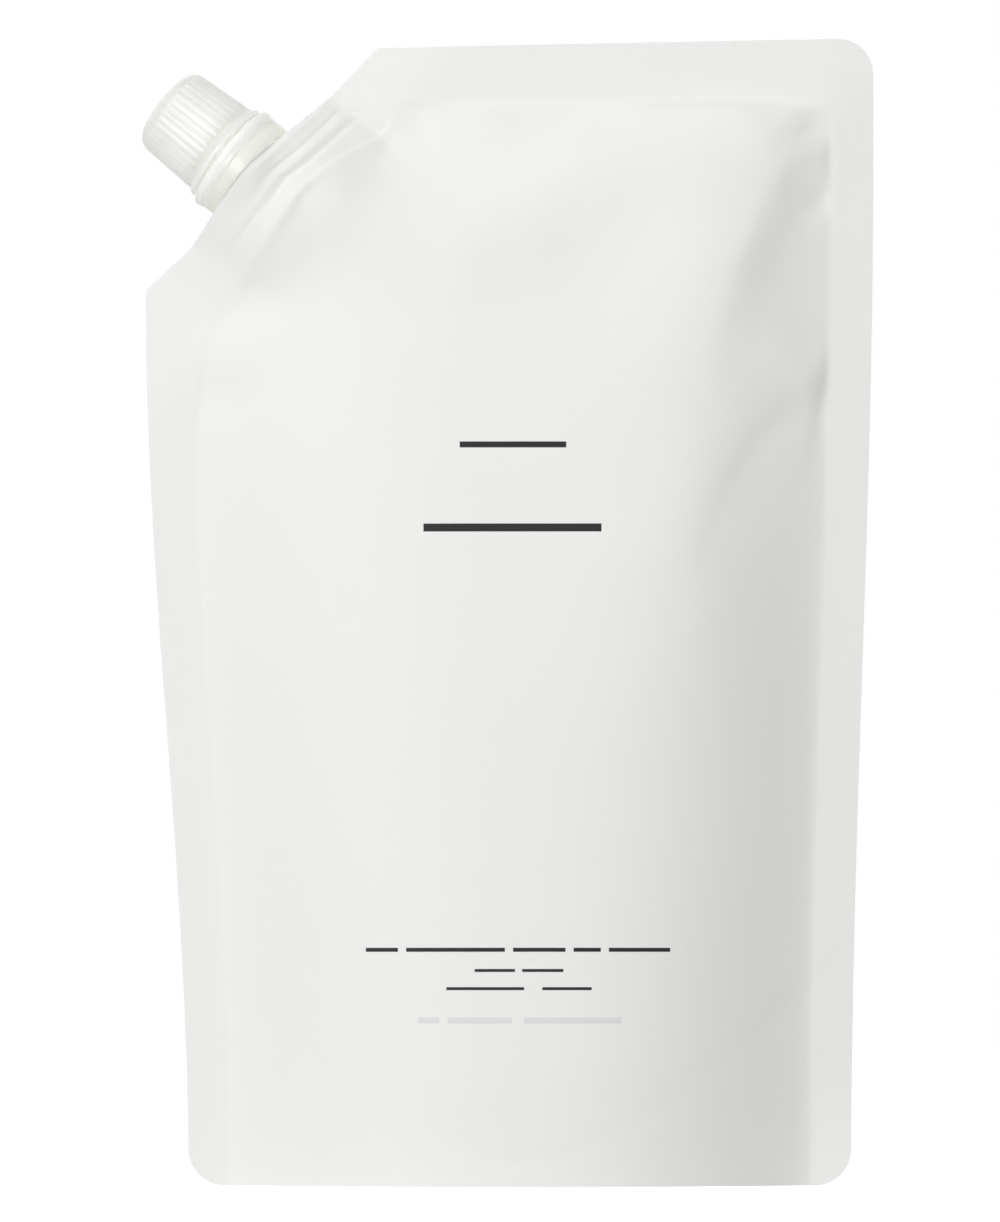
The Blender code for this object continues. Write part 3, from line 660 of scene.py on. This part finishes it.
def make_crimp():
    """Height of the level lines that the sealing jaws press into the film above a height."""
    group, given, result = group_with_sockets(
        "seal_crimp",
        [("Point", "NodeSocketVector", None), ("Pitch", "NodeSocketFloat", 0.001),
         ("Lowest", "NodeSocketFloat", 0.25)],
        [("Height", "NodeSocketFloat")],
    )
    apart = group.nodes.new("ShaderNodeSeparateXYZ")
    group.links.new(given.outputs["Point"], apart.inputs[0])
    turns = maths(group, "DIVIDE", apart.outputs["Z"], given.outputs["Pitch"])
    wave = maths(group, "SINE", maths(group, "MULTIPLY", turns, 2 * math.pi))
    past = maths(group, "SUBTRACT", apart.outputs["Z"], given.outputs["Lowest"])
    band = maths(group, "MULTIPLY", past, CRIMP_START)
    limit = group.nodes.new("ShaderNodeClamp")
    group.links.new(band, limit.inputs["Value"])
    group.links.new(maths(group, "MULTIPLY", wave, limit.outputs[0]), result.inputs["Height"])
    return group


grain_group = make_grain()
bar_group = make_bar()
crimp_group = make_crimp()


def place_group(tree, group, point, **values):
    """A group node in a material; underscores in the names stand for spaces."""
    node = tree.nodes.new("ShaderNodeGroup")
    node.node_tree = group
    tree.links.new(point, node.inputs["Point"])
    for label, value in values.items():
        node.inputs[label.replace("_", " ")].default_value = value
    return node


# Print line: middle height in pixels, bar height, and the ends of each word
INK_LINES = (
    (447.5, 6.0, ((460, 566),)),
    (530.5, 8.0, ((424, 601),)),
    (950.0, 4.0, ((367, 399), (407, 505), (513, 565), (573, 600), (608, 669))),
    (970.5, 3.0, ((475, 515), (522, 563))),
    (988.5, 3.0, ((447, 524), (542, 591))),
)
PALE_LINES = ((1020.0, 6.0, ((419, 440), (448, 512), (524, 620))),)


def printed_mask(tree, point, lines):
    """Joined mask of all the bars of some lines of print."""
    total = None
    for height, thickness, words in lines:
        for first, last in words:
            x, z = at_pixel((first + last) / 2, height)
            bar = place_group(
                tree, bar_group, point, Middle_X=x, Middle_Z=z,
                Half_Width=(last - first) / 2 * METRES_PER_PIXEL,
                Half_Height=thickness / 2 * METRES_PER_PIXEL,
            )
            mask = bar.outputs["Mask"]
            total = mask if total is None else maths(tree, "MAXIMUM", total, mask)
    return total


def film_material():
    """Matte film with its bars of print, the crimp of the top seal and a fine grain."""
    material = bpy.data.materials.new("matte_film")
    material.use_nodes = True
    tree = material.node_tree
    shader = tree.nodes["Principled BSDF"]
    shader.inputs["Roughness"].default_value = 0.6
    shader.inputs["Specular IOR Level"].default_value = 0.3
    point = tree.nodes.new("ShaderNodeTexCoord").outputs["Object"]
    grain = place_group(tree, grain_group, point, Grain_Size=0.0006, Tone_Size=0.045)

    tone = tree.nodes.new("ShaderNodeMix")
    tone.data_type = "RGBA"
    tone.inputs["A"].default_value = (*FILM_COLOUR, 1.0)
    tone.inputs["B"].default_value = (*[TONE_CHANGE * part for part in FILM_COLOUR], 1.0)
    tree.links.new(grain.outputs["Tone"], tone.inputs["Factor"])
    colour = tone.outputs["Result"]
    for lines, ink in ((INK_LINES, INK_COLOUR), (PALE_LINES, PALE_INK_COLOUR)):
        printed = tree.nodes.new("ShaderNodeMix")
        printed.data_type = "RGBA"
        tree.links.new(colour, printed.inputs["A"])
        printed.inputs["B"].default_value = (*ink, 1.0)
        tree.links.new(printed_mask(tree, point, lines), printed.inputs["Factor"])
        colour = printed.outputs["Result"]
    tree.links.new(colour, shader.inputs["Base Color"])

    crimp = place_group(tree, crimp_group, point, Pitch=CRIMP_PITCH, Lowest=FILL_TOP)
    lines = tree.nodes.new("ShaderNodeBump")
    lines.inputs["Strength"].default_value = 0.22
    lines.inputs["Distance"].default_value = 0.00005
    tree.links.new(crimp.outputs["Height"], lines.inputs["Height"])
    bump = tree.nodes.new("ShaderNodeBump")
    bump.inputs["Strength"].default_value = 0.10
    bump.inputs["Distance"].default_value = 0.00005
    tree.links.new(grain.outputs["Height"], bump.inputs["Height"])
    tree.links.new(lines.outputs["Normal"], bump.inputs["Normal"])
    tree.links.new(bump.outputs["Normal"], shader.inputs["Normal"])
    return material


film = film_material()
for piece in (front_panel, back_panel, gusset):
    piece.data.materials.append(film)
    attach(piece, "pack")
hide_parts("pouch")


# Spout
# One moulding in natural polyethylene: a boat-shaped base welded between the panels, a flange at
# the film's edge, a ring that holds the tamper band down, and the neck with its outer thread.

BOAT_SETBACK = 0.0012
EDGE_INSET = 0.0010
BOAT_GROWTH = 0.0007
FILM_GAP = 0.00015
BORE_RADIUS = 0.0064
NECK_RADIUS = 0.0079
ROOT_RADIUS = 0.0085
FLANGE_RADIUS = 0.01255
FLANGE_BOTTOM = 0.0008
FLANGE_THICKNESS = 0.0023
SHANK_RADIUS = 0.0093
BEAD_RADIUS = 0.0099
SLIT_RING_RADIUS = 0.01130
THREAD_PITCH = 0.0030
THREAD_DEPTH = 0.0008
NECK_THREAD_LENGTH = 0.0080
LIP_CHAMFER = 0.0005
CLEARANCE = 0.0003
BAND_HEIGHT = 0.0031
SLIT = 0.0008
CAP_HEIGHT = 0.0184
CAP_TOP_WALL = 0.0016
BAND_GAP = 0.00005
BEAD_DROP = 0.0013
BEAD_ROUND = 0.0002
BEAD_RAMP = 0.0008
SLIT_RING_GAP = 0.0001
NECK_START = 0.0010
LIP_TO_THREAD = 0.0026
THREAD_RUN_OUT = 0.0008
EDGE_ROUND = 0.00012
EDGE_POINTS = 200
MERGE_DISTANCE = 1e-7
MOULDED_SHARP_ANGLE = 35
SPOUT_SEGMENTS = 128

NATURAL_COLOUR = (0.93, 0.93, 0.85)
NATURAL_TINT = (0.92, 0.92, 0.83)
NATURAL_ROUGHNESS = 0.36
# Strength of the painted glow: emission that lightens the spout's shaded sides as if they were lit
NATURAL_PAINTED_GLOW = 0.12
LIGHT_REACH = 0.010

CUT_SKEW = math.pi / 2 - math.atan2(AXIS_FLAT[1], -AXIS_FLAT[0]) - CUT_ANGLE
BAND_BOTTOM = FLANGE_BOTTOM + FLANGE_THICKNESS + CLEARANCE
BAND_TOP = BAND_BOTTOM + BAND_HEIGHT
CAP_BOTTOM = BAND_TOP + SLIT
CAP_TOP = CAP_BOTTOM + CAP_HEIGHT
CAP_CEILING = CAP_TOP - CAP_TOP_WALL
NECK_TOP = CAP_CEILING - CLEARANCE
NECK_THREAD_TOP = NECK_TOP - LIP_TO_THREAD
NECK_THREAD_BOTTOM = NECK_THREAD_TOP - NECK_THREAD_LENGTH

along_cut = Vector((AXIS_FLAT[1], 0.0, -AXIS_FLAT[0]))
spout_place = Matrix((along_cut, spout_out.cross(along_cut), spout_out)).transposed().to_4x4()
spout_place.translation = spout_datum


def ring(radius, along):
    """A plain turned row."""
    return lambda angle: (radius + 0 * angle, along + 0 * angle)


def fillet(start, corner, end, steps=4):
    """Rows that round a corner of a turned profile, from start to end."""
    rows = []
    for step in range(steps + 1):
        share = step / steps
        radius, along = [
            (1 - share) ** 2 * a + 2 * share * (1 - share) * b + share ** 2 * c
            for a, b, c in zip(start, corner, end)
        ]
        rows.append(ring(radius, along))
    return rows


def boat_row(along):
    """A row with the outline of the weld base, seen along the spout's axis."""
    half_width = BOAT_WIDTH / 2 + BOAT_GROWTH
    half_length = BOAT_LENGTH / 2 + BOAT_GROWTH

    def outline(angle):
        run = 2 * half_width * np.cos(angle) / half_length
        rise = np.abs(np.sin(angle))
        return 2 * half_width / (rise + np.hypot(rise, run)), along + 0 * angle

    return outline


def thread_rows(root, depth, bottom, top, phases):
    """Rows that climb round the axis, one pitch in each turn, with run-out ends."""
    first = math.floor(bottom / THREAD_PITCH) - 2
    last = math.ceil(top / THREAD_PITCH) + 1

    def climbing(turn, phase, crest):
        def row(angle):
            along = (turn + phase + angle / (2 * math.pi)) * THREAD_PITCH
            along = np.clip(along, bottom, top)
            fade = ramp(along, bottom, bottom + THREAD_RUN_OUT) * ramp(along, top, top - THREAD_RUN_OUT)
            return root + depth * crest * fade, along
        return row

    turns = range(first, last + 1)
    return [climbing(turn, phase, crest) for turn in turns for phase, crest in phases]


def turned_object(name, rows, angles, thread=None, closed=True):
    """Skin rows round the spout's axis; thread gives (first row, rows, rows in a pitch)."""
    around = len(angles)
    count = len(rows)
    points = np.empty((around, count, 3))
    for place, row in enumerate(rows):
        radius, along = row(angles)
        points[:, place] = np.stack([radius * np.cos(angles), radius * np.sin(angles), along], axis=-1)
    seam = np.arange(count)
    if thread:
        first, amount, per_pitch = thread
        block = np.arange(first, first + amount)
        seam[block] = np.minimum(block + per_pitch, first + amount - 1)
    faces = []
    steps = count if closed else count - 1
    for place in range(around):
        following = (place + 1) % around
        for row in range(steps):
            after = (row + 1) % count
            low, high = (seam[row], seam[after]) if following == 0 else (row, after)
            here = place * count
            there = following * count
            corners = [here + row, there + low, there + high, here + after]
            if low == high:
                corners.pop(2)
            faces.append(corners)
    if not closed:
        faces.append([place * count for place in reversed(range(around))])
        faces.append([place * count + count - 1 for place in range(around)])
    mesh = bpy.data.meshes.new(name)
    mesh.from_pydata(points.reshape(-1, 3).tolist(), [], [list(map(int, face)) for face in faces])
    work = bmesh.new()
    work.from_mesh(mesh)
    bmesh.ops.remove_doubles(work, verts=work.verts, dist=MERGE_DISTANCE)
    bmesh.ops.recalc_face_normals(work, faces=work.faces)
    work.to_mesh(mesh)
    work.free()
    mesh.shade_smooth()
    mesh.set_sharp_from_angle(angle=math.radians(MOULDED_SHARP_ANGLE))
    mesh.transform(spout_place)
    thing = bpy.data.objects.new(name, mesh)
    bpy.context.collection.objects.link(thing)
    return thing


spout_angles = np.linspace(0.0, 2 * math.pi, SPOUT_SEGMENTS, endpoint=False)
boat_outline = boat_row(0.0)


def boat_top(limit):
    """The top of the weld base runs just inside the film's cut edge."""
    def row(angle):
        radius = np.minimum(boat_outline(angle)[0], limit)
        return radius, -EDGE_INSET - BOAT_SETBACK - math.tan(CUT_SKEW) * radius * np.cos(angle)
    return row


def film_edge(across):
    """Where the film's cut edge stands along the spout's axis."""
    z = np.linspace(CUT_LOW, CUT_HIGH, EDGE_POINTS)
    along, off_axis = spout_coordinates(cut_line(z), z)
    return np.interp(across, off_axis, along)


def beside_film(radius, distance):
    """A row that follows the film's cut edge at a small distance."""
    return lambda angle: (radius + 0 * angle, film_edge(radius * np.cos(angle)) + distance)


flange_top = BAND_BOTTOM - BAND_GAP
flange_edge = FLANGE_RADIUS - EDGE_ROUND
bead_low = BAND_TOP - BEAD_DROP
slit_bottom = BAND_TOP + SLIT_RING_GAP
slit_top = CAP_BOTTOM - SLIT_RING_GAP
spout_rows = [ring(BORE_RADIUS, -BOAT_DEPTH), boat_row(-BOAT_DEPTH), boat_top(BOAT_LENGTH)]
spout_rows += [boat_top(ROOT_RADIUS), beside_film(ROOT_RADIUS, FILM_GAP)]
spout_rows += [beside_film(flange_edge, FILM_GAP), beside_film(FLANGE_RADIUS, FILM_GAP + EDGE_ROUND)]
spout_rows += fillet((FLANGE_RADIUS, flange_top - EDGE_ROUND), (FLANGE_RADIUS, flange_top),
                     (flange_edge, flange_top))
spout_rows += [ring(SHANK_RADIUS, flange_top), ring(SHANK_RADIUS, bead_low)]
spout_rows += fillet((BEAD_RADIUS - BEAD_ROUND, bead_low + BEAD_ROUND / 2),
                     (BEAD_RADIUS, bead_low + BEAD_ROUND), (BEAD_RADIUS, bead_low + BEAD_RAMP))
spout_rows += [ring(BEAD_RADIUS, slit_bottom), ring(SLIT_RING_RADIUS, slit_bottom)]
spout_rows += [ring(SLIT_RING_RADIUS, slit_top), ring(BEAD_RADIUS, slit_top)]
spout_rows += [ring(NECK_RADIUS, CAP_BOTTOM + NECK_START), ring(NECK_RADIUS, NECK_THREAD_BOTTOM)]
# Where the profile of one turn of thread stands, as shares of the pitch, and whether it is crest
neck_phases = ((0.0, 0), (0.12, 1), (0.28, 1), (0.44, 1), (0.56, 0), (0.78, 0))
neck_thread = thread_rows(NECK_RADIUS, THREAD_DEPTH, NECK_THREAD_BOTTOM, NECK_THREAD_TOP, neck_phases)
thread_start = len(spout_rows)
spout_rows += neck_thread
spout_rows += fillet((NECK_RADIUS, NECK_TOP - LIP_CHAMFER), (NECK_RADIUS, NECK_TOP),
                     (NECK_RADIUS - LIP_CHAMFER, NECK_TOP))
spout_rows += fillet((BORE_RADIUS + LIP_CHAMFER, NECK_TOP), (BORE_RADIUS, NECK_TOP),
                     (BORE_RADIUS, NECK_TOP - LIP_CHAMFER))
spout = turned_object("moulded_spout", spout_rows, spout_angles,
                      (thread_start, len(neck_thread), len(neck_phases)))


def moulded_material(name, colour, tint, roughness, painted_glow):
    """Satin moulded plastic with a fine eggshell skin and slow changes of tone.

    Light soaks into it and spreads inside it, and a weak emission in its own colour paints extra light
    onto it, so its shaded sides stay bright.
    """
    material = bpy.data.materials.new(name)
    material.use_nodes = True
    tree = material.node_tree
    shader = tree.nodes["Principled BSDF"]
    shader.inputs["Roughness"].default_value = roughness
    shader.inputs["Specular IOR Level"].default_value = 0.5
    shader.inputs["Subsurface Weight"].default_value = 1.0
    shader.inputs["Subsurface Radius"].default_value = (LIGHT_REACH, LIGHT_REACH, LIGHT_REACH)
    shader.inputs["Subsurface Scale"].default_value = 1.0
    # Painted light: the plastic glows in its own colour, which brightens its shaded sides
    shader.inputs["Emission Color"].default_value = (*colour, 1.0)
    shader.inputs["Emission Strength"].default_value = painted_glow
    point = tree.nodes.new("ShaderNodeTexCoord").outputs["Object"]
    grain = place_group(tree, grain_group, point, Grain_Size=0.0003, Tone_Size=0.008)
    tone = tree.nodes.new("ShaderNodeMix")
    tone.data_type = "RGBA"
    tone.inputs["A"].default_value = (*colour, 1.0)
    tone.inputs["B"].default_value = (*tint, 1.0)
    tree.links.new(grain.outputs["Tone"], tone.inputs["Factor"])
    tree.links.new(tone.outputs["Result"], shader.inputs["Base Color"])
    bump = tree.nodes.new("ShaderNodeBump")
    bump.inputs["Strength"].default_value = 0.15
    bump.inputs["Distance"].default_value = 0.00003
    tree.links.new(grain.outputs["Height"], bump.inputs["Height"])
    tree.links.new(bump.outputs["Normal"], shader.inputs["Normal"])
    return material


natural_plastic = moulded_material("natural_plastic", NATURAL_COLOUR, NATURAL_TINT,
                                   NATURAL_ROUGHNESS, NATURAL_PAINTED_GLOW)
spout.data.materials.append(natural_plastic)
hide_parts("spout")
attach(spout, "pack")


# Tamper band
# A ring moulded with the cap in whitened plastic and tied to it by thin bridges across the slit. A
# lip inside it catches under the spout's ring, so it stays on the neck when the bridges break.

BAND_RADIUS = 0.01300
BAND_FOOT_RADIUS = 0.01260
BAND_FOOT_HEIGHT = 0.0012
BULGE_LOW = 0.0013
BULGE_FULL = 0.0021
BULGE_HIGH = 0.0022
BAND_TOP_ROUND = 0.0008
BAND_TOP_EDGE = 0.0001
BAND_LIP = 0.00055
LIP_HEIGHTS = (0.0004, 0.0011, 0.0014)
BRIDGES = 8
BRIDGE_WIDTH = 0.0009
BRIDGE_THICKNESS = 0.0004
BRIDGE_SETBACK = 0.0001
BRIDGE_GAP = 0.00002
BRIDGE_SOFTNESS = math.radians(0.4)
STEPS_BETWEEN_BRIDGES = 14
COLLAR_RADIUS = 0.0119

WHITE_COLOUR = (0.93, 0.93, 0.925)
WHITE_TINT = (0.92, 0.92, 0.912)
WHITE_ROUGHNESS = 0.34
# Strength of the painted glow: emission that lightens the band's and the cap's shaded sides as if they
# were lit
WHITE_PAINTED_GLOW = 0.125

band_inner = BEAD_RADIUS + CLEARANCE
lip_inner = band_inner - BAND_LIP
lip_low, lip_high, lip_top = [BAND_BOTTOM + height for height in LIP_HEIGHTS]
bridge_outer = COLLAR_RADIUS - BRIDGE_SETBACK
bridge_inner = bridge_outer - BRIDGE_THICKNESS
bridge_half = BRIDGE_WIDTH / 2 / bridge_outer
bridge_sector = 2 * math.pi / BRIDGES
bridge_reach = bridge_half + BRIDGE_SOFTNESS
band_offsets = [-bridge_reach, -bridge_half, bridge_half, bridge_reach]
between = np.linspace(bridge_reach, bridge_sector - bridge_reach, STEPS_BETWEEN_BRIDGES)[1:-1]
band_angles = np.concatenate([
    bridge_sector * bridge + np.concatenate([band_offsets, between]) for bridge in range(BRIDGES)
])


def bridge_row(radius):
    """A row on top of the band that rises to the cap at each bridge."""
    def row(angle):
        offset = (angle + bridge_sector / 2) % bridge_sector - bridge_sector / 2
        raised = np.abs(offset) < bridge_half + BRIDGE_SOFTNESS / 2
        return radius + 0 * angle, BAND_TOP + raised * (SLIT - BRIDGE_GAP)
    return row


band_rows = fillet((BAND_FOOT_RADIUS - EDGE_ROUND, BAND_BOTTOM), (BAND_FOOT_RADIUS, BAND_BOTTOM),
                   (BAND_FOOT_RADIUS, BAND_BOTTOM + EDGE_ROUND))
band_rows += fillet((BAND_FOOT_RADIUS, BAND_BOTTOM + BAND_FOOT_HEIGHT),
                    (BAND_RADIUS, BAND_BOTTOM + BULGE_LOW), (BAND_RADIUS, BAND_BOTTOM + BULGE_FULL), 5)
band_rows += fillet((BAND_RADIUS, BAND_BOTTOM + BULGE_HIGH), (BAND_RADIUS, BAND_TOP - BAND_TOP_EDGE),
                    (BAND_RADIUS - BAND_TOP_ROUND, BAND_TOP), 6)
band_rows += [ring(bridge_outer + BAND_TOP_EDGE, BAND_TOP), ring(bridge_outer, BAND_TOP)]
band_rows += [bridge_row(bridge_outer), bridge_row(bridge_inner), ring(bridge_inner, BAND_TOP)]
band_rows += [ring(band_inner, BAND_TOP), ring(band_inner, lip_top)]
band_rows += [ring(lip_inner, lip_high), ring(lip_inner, lip_low), ring(band_inner, BAND_BOTTOM)]
band = turned_object("tamper_ring", band_rows, band_angles)
cap_plastic = moulded_material("cap_plastic", WHITE_COLOUR, WHITE_TINT, WHITE_ROUGHNESS, WHITE_PAINTED_GLOW)
band.data.materials.append(cap_plastic)
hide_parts("tamper_band")
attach(band, "band")


# Cap
# Ribbed screw cap in white polypropylene with a flared collar. Inside it has a thread and a plug
# that seals the bore.

CAP_RIBS = 36
RIB_STEPS = 12
CAP_RIB_DEPTH = 0.00022
RIB_FULLNESS = 0.6
RIB_END_TURN = math.radians(75)
# Rows of the ribbed wall: height as a share of the wall's, and how far the ribs stand out there
RIB_ROWS = ((1.0, 1.0), (0.65, 1.0), (0.35, 1.0), (0.06, 1.0), (0.03, 0.8), (0.01, 0.3))
CAP_TOP_RADIUS = 0.0104
CAP_BASE_RADIUS = 0.0111
COLLAR_HEIGHT = 0.0024
COLLAR_FLARE = 0.0008
COLLAR_EDGE = 0.0003
COLLAR_ROUND = 0.0002
CROWN_ROUND = 0.0034
CROWN_STEPS = 8
SKIRT_DEPTH = 0.0035
SKIRT_CONE = 0.0011
CAP_THREAD_START = 0.0002
CAP_THREAD_LENGTH = 0.0055
THREAD_ROOM = 0.0004
PLUG_DEPTH = 0.0022
PLUG_WALL = 0.0010
PLUG_STRAIGHT = 0.6
PLUG_TAPER = 0.0003

cap_thread_bottom = NECK_THREAD_BOTTOM + CLEARANCE + CAP_THREAD_START
cap_thread_top = cap_thread_bottom + CAP_THREAD_LENGTH
cap_bore = NECK_RADIUS + THREAD_DEPTH + THREAD_ROOM
skirt_bore = BEAD_RADIUS + CLEARANCE
rib_bottom = CAP_BOTTOM + COLLAR_HEIGHT
rib_top = CAP_TOP - CROWN_ROUND
cap_angles = np.linspace(0.0, 2 * math.pi, CAP_RIBS * RIB_STEPS, endpoint=False)


def rib_profile(angle):
    """Rounded ribs with slightly narrower grooves between them."""
    wave = 0.5 + 0.5 * np.cos(angle * CAP_RIBS)
    return wave ** RIB_FULLNESS


def ribbed(radius, along, strength):
    """A turned row whose ribs stand out with a strength from 0 to 1."""
    def row(angle):
        return radius - CAP_RIB_DEPTH * (1 - strength * rib_profile(angle)), along + 0 * angle
    return row


rib_span = rib_top - rib_bottom
cap_rows = []
for step in range(CROWN_STEPS, 0, -1):
    turn = math.pi / 2 * step / CROWN_STEPS
    radius = CAP_TOP_RADIUS - CROWN_ROUND * (1 - math.cos(turn))
    strength = float(ramp(turn, RIB_END_TURN, 0.0))
    cap_rows.append(ribbed(radius, rib_top + CROWN_ROUND * math.sin(turn), strength))
for share, strength in RIB_ROWS:
    radius = CAP_BASE_RADIUS + (CAP_TOP_RADIUS - CAP_BASE_RADIUS) * share
    cap_rows.append(ribbed(radius, rib_bottom + rib_span * share, strength))
cap_rows += fillet((CAP_BASE_RADIUS - CAP_RIB_DEPTH + COLLAR_ROUND, rib_bottom),
                   (CAP_BASE_RADIUS, rib_bottom - COLLAR_FLARE),
                   (COLLAR_RADIUS, CAP_BOTTOM + COLLAR_FLARE), 5)
cap_rows += fillet((COLLAR_RADIUS, CAP_BOTTOM + COLLAR_EDGE), (COLLAR_RADIUS, CAP_BOTTOM),
                   (COLLAR_RADIUS - COLLAR_ROUND, CAP_BOTTOM), 3)
skirt_top = CAP_BOTTOM + SKIRT_DEPTH
cap_rows += [ring(skirt_bore, CAP_BOTTOM), ring(skirt_bore, skirt_top)]
cap_rows += [ring(cap_bore, skirt_top + SKIRT_CONE), ring(cap_bore, cap_thread_bottom)]
# The inner thread's crest stands half a pitch above the neck's
cap_phases = ((0.54, 0), (0.66, 1), (0.90, 1), (1.02, 0))
cap_thread = thread_rows(cap_bore, -THREAD_DEPTH, cap_thread_bottom, cap_thread_top, cap_phases)
thread_start = len(cap_rows)
cap_rows += cap_thread
plug = BORE_RADIUS - CLEARANCE
cap_rows += [ring(cap_bore, CAP_CEILING), ring(plug, CAP_CEILING)]
plug_tip = CAP_CEILING - PLUG_DEPTH
cap_rows += [ring(plug, CAP_CEILING - PLUG_STRAIGHT * PLUG_DEPTH), ring(plug - PLUG_TAPER, plug_tip)]
cap_rows += [ring(plug - PLUG_WALL, plug_tip), ring(plug - PLUG_WALL, CAP_CEILING)]
cap = turned_object("screw_cap", cap_rows, cap_angles,
                    (thread_start, len(cap_thread), len(cap_phases)), closed=False)
cap.data.materials.append(cap_plastic)
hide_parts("cap")
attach(cap, "cap")
